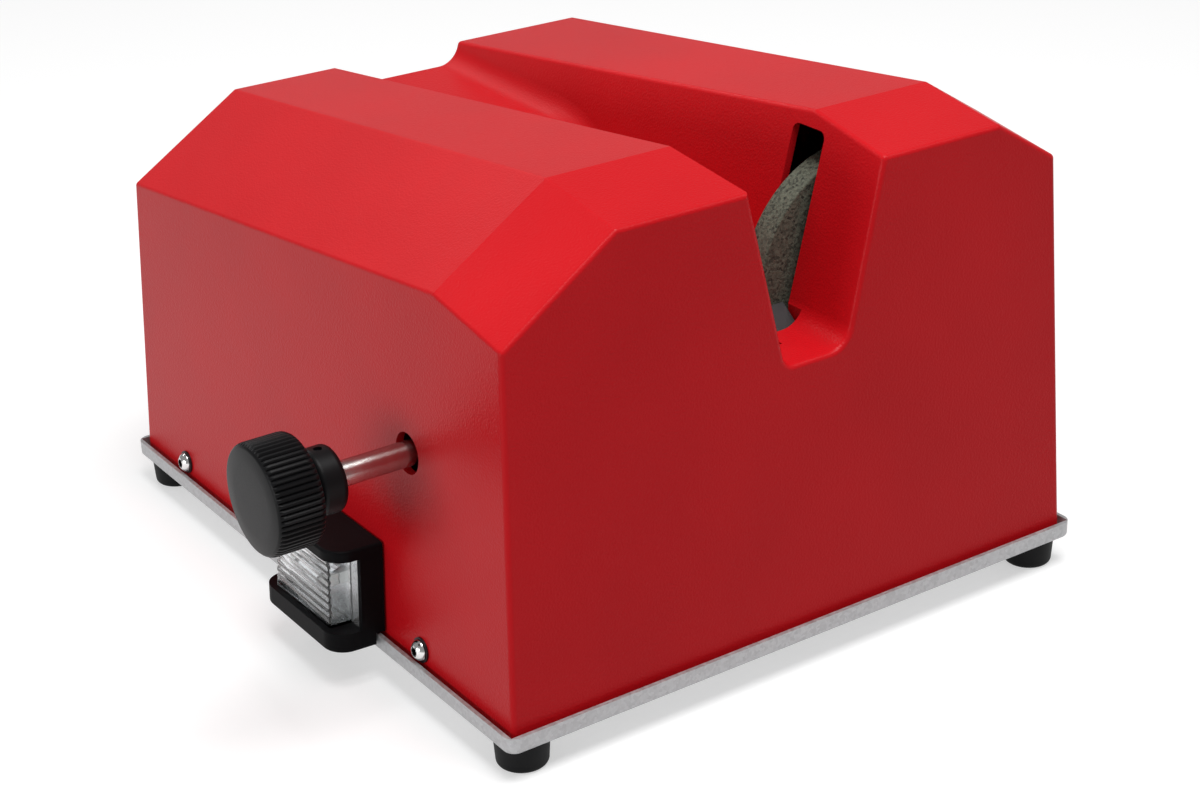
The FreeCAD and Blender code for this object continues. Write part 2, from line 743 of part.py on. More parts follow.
# Feed shaft with its screwed end, thrust rings, bracket and bush
plain = rod("shaft_plain", "feed_radius", "nut_start - 3 + knob_reach - 6", face_x + " + 6",
            "feed_back", "feed_level", "x")
threaded = rod("shaft_core", "feed_radius - 0.75", "feed_end - nut_start + 3", "nut_start - 3",
               "feed_back", "feed_level", "x")
ribs = []
for number in range(9):
    ribs.append(rod("shaft_rib_%d" % number, "feed_radius", "feed_pitch / 2",
                    "nut_start - 2 + feed_pitch * %d" % number, "feed_back", "feed_level", "x"))
piece("feed_shaft", join("shaft_all", plain, threaded, *ribs))
for name, start in (("outer", "bracket_x - thrust_length - side_gap"),
                    ("inner", "bracket_x + bracket_thick + side_gap")):
    ring = rod("thrust_ring_" + name, "thrust_radius", "thrust_length", start,
               "feed_back", "feed_level", "x")
    eye = rod("thrust_eye_" + name, "feed_radius", "thrust_length + 2", start + " - 1",
              "feed_back", "feed_level", "x")
    piece("thrust_collar_" + name, cut("thrust_all_" + name, ring, eye))
bracket = box("bracket_plate", "bracket_x", "feed_back - 15", "support_top",
              "bracket_thick", "30", "feed_level - support_top")
bracket_top = rod("bracket_top", "15", "bracket_thick", "bracket_x", "feed_back", "feed_level", "x")
bracket_eye = rod("bracket_eye", "feed_radius + bush_wall", "bracket_thick + 2",
                  "bracket_x - 1", "feed_back", "feed_level", "x")
piece("feed_bracket", cut("bracket_all", join("bracket_solid", bracket, bracket_top), bracket_eye))
bush = rod("bush_tube", "feed_radius + bush_wall", "bracket_thick", "bracket_x",
           "feed_back", "feed_level", "x")
bush_eye = rod("bush_eye", "feed_radius + running_gap", "bracket_thick + 2", "bracket_x - 1",
               "feed_back", "feed_level", "x")
piece("feed_bush", cut("bush_all", bush, bush_eye))

# Carriage of the left motor: base plate, upright, web and the arm that holds the feed nut
base = box("carriage_base", "arm_start", "base_plate_front", "carriage_level",
           "carriage_right - arm_start", "base_plate_back - base_plate_front", "base_plate_thick")
upright = box("carriage_upright", "left_wheel_x - motor_plate_half", "motor_front - motor_plate",
              "carriage_level", "2 * motor_plate_half", "motor_plate",
              "motor_plate_top - carriage_level")
web = box("carriage_web", "left_wheel_x - motor_plate_half", "motor_front - motor_plate",
          "carriage_level", "6", "60", "wheel_level - motor_radius - 8 - carriage_level")
arm = box("carriage_arm", "arm_start", "feed_back - arm_half_width", "carriage_level",
          "arm_thick", "2 * arm_half_width", "feed_level + arm_half_width - carriage_level")
arm_hole = rod("arm_hole", "feed_radius + 1", "arm_thick + 4", "arm_start - 2",
               "feed_back", "feed_level", "x")
left_eye = rod("left_spigot_hole", "motor_spigot", "20", "left_wheel_x",
               "motor_front - 12", "wheel_level", "y")
carriage_solid = join("carriage_solid", base, upright, web, arm)
piece("carriage", cut("carriage_all", carriage_solid, arm_hole, left_eye))
nut_body = rod("nut_body", "nut_radius", "nut_length", "nut_start", "feed_back", "feed_level", "x")
nut_eye = rod("nut_eye", "feed_radius + running_gap", "nut_length + 2", "nut_start - 1",
              "feed_back", "feed_level", "x")
piece("feed_nut", cut("nut_all", nut_body, nut_eye))

# Guide rods, their supports and the carriage's slide bearings
RODS = [("front", "rod_front"), ("back", "rod_back")]
rods = []
for name, place in RODS:
    rods.append(rod("guide_rod_" + name, "rod_radius", "rod_end - rod_start", "rod_start",
                    place, "rod_level", "x"))
piece("guide_rods", several("rod_set", *rods))
for name, start in (("left", "rod_start"), ("right", "rod_end - support_thick")):
    block = box("support_block_" + name, start, "base_plate_front", "case_floor",
                "support_thick", "rod_back + support_margin - base_plate_front",
                "support_top - case_floor")
    eyes = []
    for line, place in RODS:
        eyes.append(rod("support_eye_%s_%s" % (name, line), "rod_radius",
                        "support_thick + 2", start + " - 1", place, "rod_level", "x"))
    piece("rod_support_" + name, cut("support_all_" + name, block, *eyes))
bearings = []
for line, place in RODS:
    for end, start in (("left", "left_wheel_x - motor_plate_half"),
                       ("right", "carriage_right - bearing_length - 2")):
        tag = "%s_%s" % (line, end)
        block = box("bearing_block_" + tag, start, place + " - bearing_half",
                    "rod_level - bearing_half", "bearing_length", "2 * bearing_half",
                    "carriage_level - rod_level + bearing_half")
        eye = rod("bearing_eye_" + tag, "rod_radius + running_gap", "bearing_length + 2",
                  start + " - 1", place, "rod_level", "x")
        bearings.append(cut("bearing_" + tag, block, eye))
piece("slide_bearings", several("bearing_set", *bearings))

# Fixed bracket of the right motor
r_base = box("right_base", "right_wheel_x - right_plate_half", "base_plate_front", "case_floor",
             "2 * right_plate_half", "base_plate_back - base_plate_front", "base_plate_thick")
r_upright = box("right_upright", "right_wheel_x - motor_plate_half", "motor_front - motor_plate",
                "case_floor", "2 * motor_plate_half", "motor_plate",
                "motor_plate_top - case_floor")
r_webs = []
for name, shift in (("left", "-motor_plate_half"), ("right", "motor_plate_half - 6")):
    r_webs.append(box("right_web_" + name, "right_wheel_x + " + shift,
                      "motor_front - motor_plate", "case_floor", "6", "60",
                      "wheel_level - motor_radius - 8 - case_floor"))
r_eye = rod("right_spigot_hole", "motor_spigot", "20", "right_wheel_x",
            "motor_front - 12", "wheel_level", "y")
r_solid = join("right_bracket_solid", r_base, r_upright, *r_webs)
piece("right_motor_bracket", cut("right_bracket_all", r_solid, r_eye))

# Motors, arbors, flanges, wheels, nuts and guards, one set for each side
for side, x, y in (("left", "left_wheel_x", "left_wheel_y"),
                   ("right", "right_wheel_x", "right_wheel_y")):
    level = "wheel_level"
    plate_front = "motor_front - motor_plate"
    cap_front = "motor_front + motor_length - end_cap_length"
    can = rod(side + "_can", "motor_radius", "motor_length - end_cap_length", x, "motor_front",
              level, "y")
    spigot = rod(side + "_spigot", "motor_spigot", "motor_plate", x, plate_front, level, "y")
    bore = rod(side + "_can_bore", "arbor_radius + running_gap", "motor_length + 10", x,
               plate_front + " - 5", level, "y")
    can_solid = join(side + "_motor_solid", can, spigot)
    piece(side + "_motor", cut(side + "_motor_all", can_solid, bore))
    cap = rod(side + "_cap", "motor_radius - 1", "end_cap_length", x, cap_front, level, "y")
    cap_soft = rounded(side + "_cap_soft", cap, "collar_round",
                       lambda e: e.BoundBox.YMin > size("motor_front") + size("motor_length") - 0.01
                       and e.BoundBox.XLength > 5)
    cap_bore = rod(side + "_cap_bore", "arbor_radius + running_gap", "end_cap_length - 3", x,
                   cap_front + " - 1", level, "y")
    piece(side + "_motor_cap", cut(side + "_cap_all", cap_soft, cap_bore))
    bolts = []
    for number, (bx, bz) in enumerate(((-1, -1), (1, -1), (-1, 1), (1, 1))):
        px = "%s + (%d) * motor_plate_half * 0.68" % (x, bx)
        pz = "%s + (%d) * motor_plate_half * 0.68" % (level, bz)
        bolts.append(hexagon("%s_bolt_%d" % (side, number), "4", "3", px,
                             plate_front + " - 3", pz, "y"))
    piece(side + "_motor_bolts", several(side + "_bolt_set", *bolts))

    # arbor: runs through the motor and carries the wheel between two flanges
    inner_start = "%s + wheel_thick / 2" % y
    outer_start = "%s - wheel_thick / 2 - flange_thick" % y
    arbor_start = outer_start + " - arbor_nut_length - 2"
    piece(side + "_arbor", rod(side + "_arbor_shaft", "arbor_radius",
                               "%s + end_cap_length - 5 - (%s)" % (cap_front, arbor_start),
                               x, arbor_start, level, "y"))
    for name, start in (("inner", inner_start), ("outer", outer_start)):
        disc = rod("%s_%s_disc" % (side, name), "flange_radius", "flange_thick", x, start,
                   level, "y")
        eye = rod("%s_%s_eye" % (side, name), "arbor_radius", "flange_thick + 2", x,
                  start + " - 1", level, "y")
        piece("%s_flange_%s" % (side, name), cut("%s_%s_flange" % (side, name), disc, eye))
    stone = rod(side + "_stone", "wheel_radius", "wheel_thick", x, "%s - wheel_thick / 2" % y,
                level, "y")
    stone_soft = rounded(side + "_stone_soft", stone, "wheel_round",
                         lambda e: e.BoundBox.XLength > size("wheel_radius"))
    stone_eye = rod(side + "_stone_eye", "arbor_radius", "wheel_thick + 2", x,
                    "%s - wheel_thick / 2 - 1" % y, level, "y")
    piece(side + "_wheel", cut(side + "_wheel_all", stone_soft, stone_eye))
    nut = hexagon(side + "_nut_hex", "arbor_nut_radius + 2", "arbor_nut_length", x,
                  outer_start + " - arbor_nut_length", level, "y")
    nut_eye = rod(side + "_nut_eye", "arbor_radius", "arbor_nut_length + 2", x,
                  outer_start + " - arbor_nut_length - 1", level, "y")
    piece(side + "_arbor_nut", cut(side + "_nut_all", nut, nut_eye))

    # guard: a half tub of sheet round the lower part of the wheel, on a stay from the upright
    guard_front = "%s - guard_half" % y
    drum = rod(side + "_drum", "guard_inner + guard_sheet", "2 * guard_half", x,
               guard_front, level, "y")
    drum_top = box(side + "_drum_top", x + " - 100", guard_front + " - 5", "guard_top",
                   "200", "2 * guard_half + 10", "120")
    drum_room = rod(side + "_drum_room", "guard_inner", "2 * guard_half - 2 * guard_sheet", x,
                    guard_front + " + guard_sheet", level, "y")
    drum_eye = rod(side + "_drum_eye", "guard_eye", "2 * guard_half + 10", x,
                   guard_front + " - 5", level, "y")
    guard = cut(side + "_guard_all", drum, drum_top, drum_room, drum_eye)
    if side == "right":
        # a black lip slopes up through the cut-out in the groove's bed, in front of the wheel
        lip_start = "left_slot_end + guard_lip_inset"
        lip_run = "cutout_right - cutout_gap - left_slot_end - guard_lip_inset"
        lip_edge = guard_front + " - guard_lip_depth"
        lip_foot = "groove_floor - guard_lip_drop"
        lip_back = guard_front + " + guard_sheet"
        lip_top = lip_foot + " + guard_lip_rise"
        lip_side = polygon("lip_side", [
            (lip_edge, lip_foot),
            (lip_edge, lip_foot + " - 1.2 * guard_sheet"),
            (guard_front, lip_top + " - 2 * guard_sheet"),
            (guard_front, "guard_top - 10"),
            (lip_back, "guard_top - 10"),
            (lip_back, lip_top),
        ], "yz", lip_start)
        lip = extrusion("lip", lip_side, lip_run, "0", "0")
        guard = join("right_guard_lipped", guard, lip)
    piece(side + "_guard", guard)
    stay_start = "%s + guard_half" % y
    piece(side + "_guard_stay", box(side + "_stay_bar", x + " - 10", stay_start,
                                    "guard_top - 36", "20",
                                    "%s - (%s)" % (plate_front, stay_start), "4"))


def on_lamp(shape):
    """Lean a lamp piece with the side wall that carries it."""
    return put(shape, "lean * (lamp_level - case_floor)", "lamp_y", "lamp_level",
               (0, 1, 0), "draft_angle * 1deg")


def leaning(name, *shapes):
    holder = doc.addObject("Part::Compound", name)
    holder.Links = list(shapes)
    return on_lamp(holder)


# Lamp on the left wall, in its own frame: -x outward from the wall, y along it, z up
gasket = box("lamp_gasket_sheet", "-lamp_gasket", "-lamp_width / 2 + 2", "lamp_rim_clear + 1",
             "lamp_gasket - 0.01", "lamp_width - 4", "lamp_height - lamp_rim_clear - 3")
piece("lamp_gasket", leaning("lamp_gasket_seat", gasket))
blank = box("lamp_blank", "-lamp_gasket - lamp_depth", "-lamp_width / 2", "0",
            "lamp_depth", "lamp_width", "lamp_height")
blank_soft = rounded("lamp_blank_soft", blank, "lamp_corner",
                     lambda e: e.BoundBox.ZLength > 20
                     and e.BoundBox.XMax < -size("lamp_depth"))
blank_edges = rounded("lamp_blank_edges", blank_soft, "lamp_edge",
                      lambda e: e.BoundBox.ZLength < 0.01
                      and e.BoundBox.XMin < -size("lamp_gasket") - 1)
window = box("lamp_window", "-lamp_gasket - lamp_depth - 5", "-lamp_width / 2 - 5", "lamp_lip",
             "lamp_depth - lamp_back_depth + 5", "lamp_width + 10",
             "lamp_height - lamp_cap - lamp_lip")
room = box("lamp_room", "-lamp_gasket - lamp_back_depth - 1", "-lamp_width / 2 + lamp_wall",
           "lamp_lip", "lamp_back_depth + 1 - lamp_wall", "lamp_width - 2 * lamp_wall",
           "lamp_height - lamp_cap - lamp_lip")
relief = box("lamp_relief", "-tray_overhang - 1.2", "-lamp_width / 2 - 5", "-5",
             "20", "lamp_width + 10", "5 + lamp_rim_clear")
housing = cut("lamp_housing_all", blank_edges, window, room, relief)
piece("lamp_housing", leaning("lamp_housing_seat", housing))

lens_low = "lamp_lip + lens_gap"
lens_tall = "lamp_height - lamp_cap - lamp_lip - 2 * lens_gap"
lens_front = "-lamp_gasket - lamp_depth + lens_inset"
lens_deep = "lamp_depth - lamp_back_depth - lens_inset - lens_gap"
lens_block = box("lens_block", lens_front, "-lamp_width / 2 + lens_end_inset", lens_low,
                 lens_deep, "lamp_width - 2 * lens_end_inset", lens_tall)
lens_soft = rounded("lens_soft", lens_block, "lens_corner",
                    lambda e: e.BoundBox.ZLength > 20 and e.BoundBox.XMax < -size("lamp_depth")
                    + size("lens_inset"))
lens_room = box("lens_room", lens_front + " + lens_wall",
                "-lamp_width / 2 + lens_end_inset + lens_wall", lens_low + " + lens_wall",
                lens_deep, "lamp_width - 2 * lens_end_inset - 2 * lens_wall",
                lens_tall + " - 2 * lens_wall")
piece("lamp_lens", leaning("lamp_lens_seat", cut("lens_all", lens_soft, lens_room)))

# reflector plate across the room's mouth, two clips and a festoon bulb between them
plate_x = "-lamp_gasket - lamp_back_depth + lens_gap"
plate = box("reflector_plate", plate_x, "-lamp_width / 2 + lamp_wall + lens_gap", lens_low,
            "1.2", "lamp_width - 2 * lamp_wall - 2 * lens_gap", lens_tall)
piece("lamp_reflector", leaning("lamp_reflector_seat", plate))
clips = []
bulb_x = plate_x + " - bulb_radius - bulb_gap"
bulb_z = "lamp_lip + (lamp_height - lamp_cap - lamp_lip) / 2"
for name, place in (("near", "-bulb_length / 2 - clip_sheet"), ("far", "bulb_length / 2")):
    clips.append(box("clip_" + name, bulb_x + " - clip_half", place, bulb_z + " - clip_half",
                     "clip_half + bulb_radius + bulb_gap - lens_gap", "clip_sheet",
                     "2 * clip_half"))
piece("lamp_clips", leaning("lamp_clips_seat", several("clip_pair", *clips)))
glass = rod("bulb_glass", "bulb_radius", "bulb_length - 2 * bulb_cap", bulb_x,
            "-bulb_length / 2 + bulb_cap", bulb_z, "y")
piece("lamp_bulb", leaning("lamp_bulb_seat", glass))
caps = []
for name, place in (("near", "-bulb_length / 2"), ("far", "bulb_length / 2 - bulb_cap")):
    caps.append(rod("bulb_cap_" + name, "bulb_radius - 1", "bulb_cap", bulb_x, place,
                    bulb_z, "y"))
piece("lamp_bulb_caps", leaning("lamp_bulb_caps_seat", several("bulb_cap_pair", *caps)))


def on_back(name, x, *shapes):
    """Lean a fitting with the back wall that carries it."""
    holder = doc.addObject("Part::Compound", name)
    holder.Links = list(shapes)
    return put(holder, x, "case_depth - lean * (socket_level - case_floor)", "socket_level",
               (1, 0, 0), "draft_angle * 1deg")


# Mains inlet and rocker switch on the back wall, in their own frame: y outward from the wall
inlet_plate = box("inlet_plate", "-inlet_half_width - 3", "0.02", "-inlet_half_height - 3",
                  "2 * inlet_half_width + 6", "flange_plate", "2 * inlet_half_height + 6")
inlet_body = box("inlet_body", "-inlet_half_width", "-fitting_depth", "-inlet_half_height",
                 "2 * inlet_half_width", "fitting_depth + 0.5", "2 * inlet_half_height")
inlet_mouth = box("inlet_mouth", "-inlet_half_width + 2.5", "-fitting_depth + 6",
                  "-inlet_half_height + 2.5", "2 * inlet_half_width - 5",
                  "fitting_depth", "2 * inlet_half_height - 5")
inlet_solid = join("inlet_solid", inlet_plate, inlet_body)
piece("power_inlet", on_back("inlet_seat", "inlet_x", cut("inlet_all", inlet_solid, inlet_mouth)))
pins = []
for number, (px, pz) in enumerate(((-7, -2), (0, 2), (7, -2))):
    pins.append(box("inlet_pin_%d" % number, "%d - 1" % px, "-fitting_depth + 6",
                    "%d - 2" % pz, "2", "fitting_depth - 10", "4"))
piece("inlet_pins", on_back("pin_seat", "inlet_x", several("pin_set", *pins)))

switch_plate = box("switch_plate", "-switch_half_width - 2.5", "0.02", "-switch_half_height - 2.5",
                   "2 * switch_half_width + 5", "flange_plate", "2 * switch_half_height + 5")
switch_body = box("switch_body", "-switch_half_width", "-fitting_depth", "-switch_half_height",
                  "2 * switch_half_width", "fitting_depth + 0.5", "2 * switch_half_height")
switch_mouth = box("switch_mouth", "-switch_half_width + 2", "-rocker_depth - 1",
                   "-switch_half_height + 1.5", "2 * switch_half_width - 4",
                   "rocker_depth + 6", "2 * switch_half_height - 3")
switch_pin_hole = rod("switch_pin_hole", "rocker_pin_radius + running_gap",
                      "2 * switch_half_width + 10", "-switch_half_width - 5", "-rocker_sunk", "0",
                      "x")
switch_solid = join("switch_solid", switch_plate, switch_body)
piece("power_switch", on_back("switch_seat", "switch_x",
                              cut("switch_all", switch_solid, switch_mouth, switch_pin_hole)))
# rocker: a drum sector with a shallow valley, on a cross pin
rocker_drum = rod("rocker_drum", "rocker_radius", "2 * rocker_half", "-rocker_half",
                  "-rocker_sunk", "0", "x")
rocker_front = box("rocker_front", "-rocker_half - 1", "-rocker_sunk + rocker_radius - rocker_flat",
                   "-rocker_radius", "2 * rocker_half + 2", "10", "2 * rocker_radius")
rocker_pin = rod("rocker_pin", "rocker_pin_radius", "2 * switch_half_width - 1",
                 "-switch_half_width + 0.5", "-rocker_sunk", "0", "x")
rocker_solid = join("rocker_solid", cut("rocker_sector", rocker_drum, rocker_front), rocker_pin)
# at rest the rocker leans to its off side, about its own pin
tilted = doc.addObject("Part::Compound", "rocker_tilted")
tilted.Links = [rocker_solid]
put(tilted, "0", "-rocker_sunk + rocker_sunk * cos(rocker_tilt * 1deg)",
    "-rocker_sunk * sin(rocker_tilt * 1deg)", (1, 0, 0), "-rocker_tilt * 1deg")
piece("switch_rocker", on_back("rocker_seat", "switch_x", tilted))

# Electrical pieces on the tray: two capacitors in clips and a terminal block
cans = []
for number, name in enumerate(("left", "right")):
    cx = "capacitor_x + capacitor_pitch * %d" % number
    can = rod("capacitor_can_" + name, "capacitor_radius", "capacitor_length", cx,
              "capacitor_y", "case_floor + capacitor_radius + 2", "y")
    soft = rounded("capacitor_soft_" + name, can, "screw_round",
                   lambda e: e.BoundBox.YLength < 0.01)
    cans.append(soft)
piece("capacitors", several("capacitor_pair", *cans))
saddles = []
for number, name in enumerate(("left", "right")):
    cx = "capacitor_x + capacitor_pitch * %d" % number
    saddle = box("saddle_block_" + name, cx + " - capacitor_radius - 2",
                 "capacitor_y + capacitor_length / 2 - 8", "case_floor",
                 "2 * capacitor_radius + 4", "16", "capacitor_radius")
    seat = rod("saddle_seat_" + name, "capacitor_radius + side_gap", "30", cx,
               "capacitor_y + capacitor_length / 2 - 15",
               "case_floor + capacitor_radius + 2", "y")
    saddles.append(cut("saddle_" + name, saddle, seat))
piece("capacitor_saddles", several("saddle_set", *saddles))
block = box("terminal_base", "block_x", "block_y", "case_floor", "18", "60", "16")
notches = []
for number in range(4):
    notches.append(box("terminal_notch_%d" % number, "block_x + 5",
                       "block_y + 11.5 + 12 * %d" % number, "case_floor + 6", "20", "2", "12"))
piece("terminal_block", cut("terminal_all", block, *notches))

# Check every object and every piece before anything is written
doc.recompute()
faults = []
for obj in doc.Objects:
    if "Invalid" in obj.State or "Error" in obj.State:
        faults.append("%s: %s" % (obj.Name, obj.State))
for name, holder in pieces.items():
    shape = holder.Shape
    if shape.isNull() or not shape.isValid() or not shape.Solids:
        faults.append("%s has no valid solid" % name)
if faults:
    raise RuntimeError("; ".join(faults))

os.makedirs("parts", exist_ok=True)
for name, holder in pieces.items():
    holder.Shape.exportStep("parts/%s.step" % name)
    b = holder.Shape.BoundBox
    print("%-22s %d solids %9.0f mm3  x %.1f..%.1f y %.1f..%.1f z %.1f..%.1f" % (
        name, len(holder.Shape.Solids), holder.Shape.Volume,
        b.XMin, b.XMax, b.YMin, b.YMax, b.ZMin, b.ZMax))
print(len(pieces), "nodes")
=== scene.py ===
import math

import bmesh
import bpy
from mathutils import Matrix, Vector


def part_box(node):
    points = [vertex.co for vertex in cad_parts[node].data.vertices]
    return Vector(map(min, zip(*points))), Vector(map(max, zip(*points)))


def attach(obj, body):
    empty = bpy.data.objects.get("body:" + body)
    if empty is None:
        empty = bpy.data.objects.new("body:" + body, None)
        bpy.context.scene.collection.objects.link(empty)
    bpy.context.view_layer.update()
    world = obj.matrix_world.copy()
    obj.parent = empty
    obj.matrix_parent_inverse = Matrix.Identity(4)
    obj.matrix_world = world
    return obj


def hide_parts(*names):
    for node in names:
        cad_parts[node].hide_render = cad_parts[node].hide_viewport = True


bl_info = {
    "name": "Knife sharpener dressing",
    "version": (1, 0, 0),
    "blender": (4, 5, 0),
    "location": "3D View > Sidebar > Sharpener",
    "description": "Finishes, detail pieces, lights and camera for a bench knife sharpener",
    "category": "Object",
}

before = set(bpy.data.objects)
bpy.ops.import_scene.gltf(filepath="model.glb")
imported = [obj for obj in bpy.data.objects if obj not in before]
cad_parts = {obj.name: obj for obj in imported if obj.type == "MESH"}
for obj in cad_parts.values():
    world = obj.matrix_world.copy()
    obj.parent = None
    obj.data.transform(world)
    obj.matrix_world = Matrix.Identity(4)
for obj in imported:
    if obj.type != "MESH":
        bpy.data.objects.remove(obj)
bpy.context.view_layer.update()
MM = 0.001
TOUCH = 0.001 * MM

# Rings of the knob head, in millimetres: how far inside the radius and how far along.
# The first are counted from the dome's rim backwards, the last from the end of the grip.
KNOB_FACE_RINGS = ((2.2, 0.0), (1.5, 0.25), (0.9, 0.8), (0.4, 1.6), (0.1, 2.6), (0.0, 3.6))
KNOB_BACK_RINGS = ((0.0, -3.2), (0.2, -1.8), (1.0, -0.6), (2.2, 0.0))
KNOB_FILLET = 0.5 * MM
# lines drawn for each ridge, and the share of the groove's depth on a line and its neighbours
RIDGE_LINES = 6
GROOVE_SHARES = ((0, 1.0), (1, 0.45), (RIDGE_LINES - 1, 0.45))
# plain length left at each end of the ridges
RIDGE_END = 1.2 * MM

# Rings of a screw head, in millimetres: how far inside its radius, and the height
SCREW_DOME_RINGS = ((0.2, 0.0), (0.0, 0.3), (0.15, 0.9), (0.9, 1.9), (1.8, 2.7))
# Rings of its recess: how far inside the mouth, and the depth; the last goes to the bottom
SCREW_MOUTH_RINGS = ((0.0, 0.0), (0.2, 0.05), (0.3, 0.3))
MOUTH_SHARE = 0.48
LOBE_SHARE = 0.72
SCREW_SIDES = 36
LOBES = 6

# lines drawn for each wave of the lens
WAVE_LINES = 10

# Lights: name, the setting of its power, place, target, width and height
LIGHTS = (
    ("key", "key", (0.00, -0.50, 1.95), (0.0, 0.0, 0.15), 1.0, 1.0),
    ("side light", "side_fill", (-2.00, -0.25, 0.45), (0.0, 0.0, 0.12), 1.0, 0.6),
    ("back strip", "edge_back", (-0.20, 1.60, 1.45), (0.0, 0.0, 0.20), 1.6, 0.12),
    ("right strip", "edge_right", (1.10, -0.60, 1.90), (0.0, 0.0, 0.20), 0.12, 1.2),
)
FLOOR_SIZE = 14.0
SENSOR_WIDTH = 36.0


# Sizes and colours that a user would change

class PaintSettings(bpy.types.PropertyGroup):
    casing: bpy.props.FloatVectorProperty(
        name="Casing", description="Satin paint of the casing",
        default=(0.60, 0.005, 0.010), size=3, subtype="COLOR")
    casing_grain: bpy.props.FloatProperty(
        name="Grain", description="Width of one dimple of the paint's fine texture",
        default=0.0011, min=0.0002, unit="LENGTH")
    plastic: bpy.props.FloatVectorProperty(
        name="Plastic", description="Moulded black plastic",
        default=(0.004, 0.004, 0.0045), size=3, subtype="COLOR")
    rubber: bpy.props.FloatVectorProperty(
        name="Rubber", description="Rubber of the feet",
        default=(0.005, 0.005, 0.0055), size=3, subtype="COLOR")
    stone_light: bpy.props.FloatVectorProperty(
        name="Stone, light", description="Light grains of the grinding wheels",
        default=(0.17, 0.185, 0.135), size=3, subtype="COLOR")
    stone_dark: bpy.props.FloatVectorProperty(
        name="Stone, dark", description="Dark grains and pores of the grinding wheels",
        default=(0.018, 0.018, 0.013), size=3, subtype="COLOR")


class KnobSettings(bpy.types.PropertyGroup):
    ridges: bpy.props.IntProperty(
        name="Ridges", description="Ridges round the knob's head", default=60, min=12)
    groove: bpy.props.FloatProperty(
        name="Groove depth", description="How deep the grooves between ridges are",
        default=0.0011, min=0.0001, unit="LENGTH")
    dome: bpy.props.FloatProperty(
        name="Dome", description="How far the face stands out at its middle",
        default=0.0005, min=0.0, unit="LENGTH")
    grip_length: bpy.props.FloatProperty(
        name="Grip length", description="Length of the ribbed grip, without the neck behind it",
        default=0.0235, min=0.005, unit="LENGTH")
    neck_radius: bpy.props.FloatProperty(
        name="Neck radius", description="Radius of the plain neck behind the grip",
        default=0.0135, min=0.001, unit="LENGTH")


class LampSettings(bpy.types.PropertyGroup):
    ribs: bpy.props.IntProperty(
        name="Ribs", description="Level waves across the lens", default=7, min=2)
    rib_depth: bpy.props.FloatProperty(
        name="Rib depth", description="Depth of each wave",
        default=0.0005, min=0.0, unit="LENGTH")
    border: bpy.props.FloatProperty(
        name="Border", description="Plain height above and below the waves",
        default=0.0045, min=0.0, unit="LENGTH")
    wall: bpy.props.FloatProperty(
        name="Lens wall", description="Thickness of the lens",
        default=0.0016, min=0.0002, unit="LENGTH")
    corner: bpy.props.FloatProperty(
        name="Lens corner", description="Radius of the two upright front corners",
        default=0.0016, min=0.0001, unit="LENGTH")
    lean: bpy.props.FloatProperty(
        name="Lean", description="Lean of the side walls, and of what is mounted on them",
        default=math.radians(2.5), subtype="ANGLE")
    glass: bpy.props.FloatVectorProperty(
        name="Lens", description="Clear plastic of the lens",
        default=(0.93, 0.95, 0.96), size=3, subtype="COLOR")


class ScrewSettings(bpy.types.PropertyGroup):
    head_radius: bpy.props.FloatProperty(
        name="Head radius", description="Radius of the domed head",
        default=0.0052, min=0.001, unit="LENGTH")
    head_height: bpy.props.FloatProperty(
        name="Head height", description="Height of the domed head",
        default=0.0032, min=0.0005, unit="LENGTH")
    shank_radius: bpy.props.FloatProperty(
        name="Shank radius", description="Radius of the shank",
        default=0.0025, min=0.0005, unit="LENGTH")
    shank_length: bpy.props.FloatProperty(
        name="Shank length", description="Length of the shank below the head",
        default=0.0145, min=0.001, unit="LENGTH")
    recess_depth: bpy.props.FloatProperty(
        name="Recess depth", description="Depth of the six-lobed recess",
        default=0.0022, min=0.0002, unit="LENGTH")


class StageSettings(bpy.types.PropertyGroup):
    camera_place: bpy.props.FloatVectorProperty(
        name="Camera", description="Where the camera stands",
        default=(-0.5838, -0.9370, 0.5864), size=3, subtype="XYZ", unit="LENGTH")
    camera_target: bpy.props.FloatVectorProperty(
        name="Target", description="The point that the camera looks at",
        default=(0.0091, -0.0560, 0.0964), size=3, subtype="XYZ", unit="LENGTH")
    camera_roll: bpy.props.FloatProperty(
        name="Roll", description="Turn of the camera about its own axis",
        default=math.radians(-1.73), subtype="ANGLE")
    focal: bpy.props.FloatProperty(
        name="Focal length", description="Focal length in millimetres for a 36 mm wide frame",
        default=70.77, min=10.0)
    floor: bpy.props.FloatVectorProperty(
        name="Floor", description="Colour of the floor",
        default=(0.60, 0.60, 0.60), size=3, subtype="COLOR")
    floor_glow: bpy.props.FloatProperty(
        name="Floor glow", description="Light that the floor shows of its own", default=0.50, min=0.0)
    surround: bpy.props.FloatProperty(
        name="Surround", description="Strength of the even light from all sides", default=0.30)
    key: bpy.props.FloatProperty(
        name="Key light", description="Power of the light overhead", default=29.0, unit="POWER")
    side_fill: bpy.props.FloatProperty(
        name="Side light", description="Power of the low light at the left", default=11.0,
        unit="POWER")
    edge_back: bpy.props.FloatProperty(
        name="Back strip", description="Power of the strip light behind", default=4.5, unit="POWER")
    edge_right: bpy.props.FloatProperty(
        name="Right strip", description="Power of the strip light at the right", default=4.0,
        unit="POWER")


# Shader maths as expressions

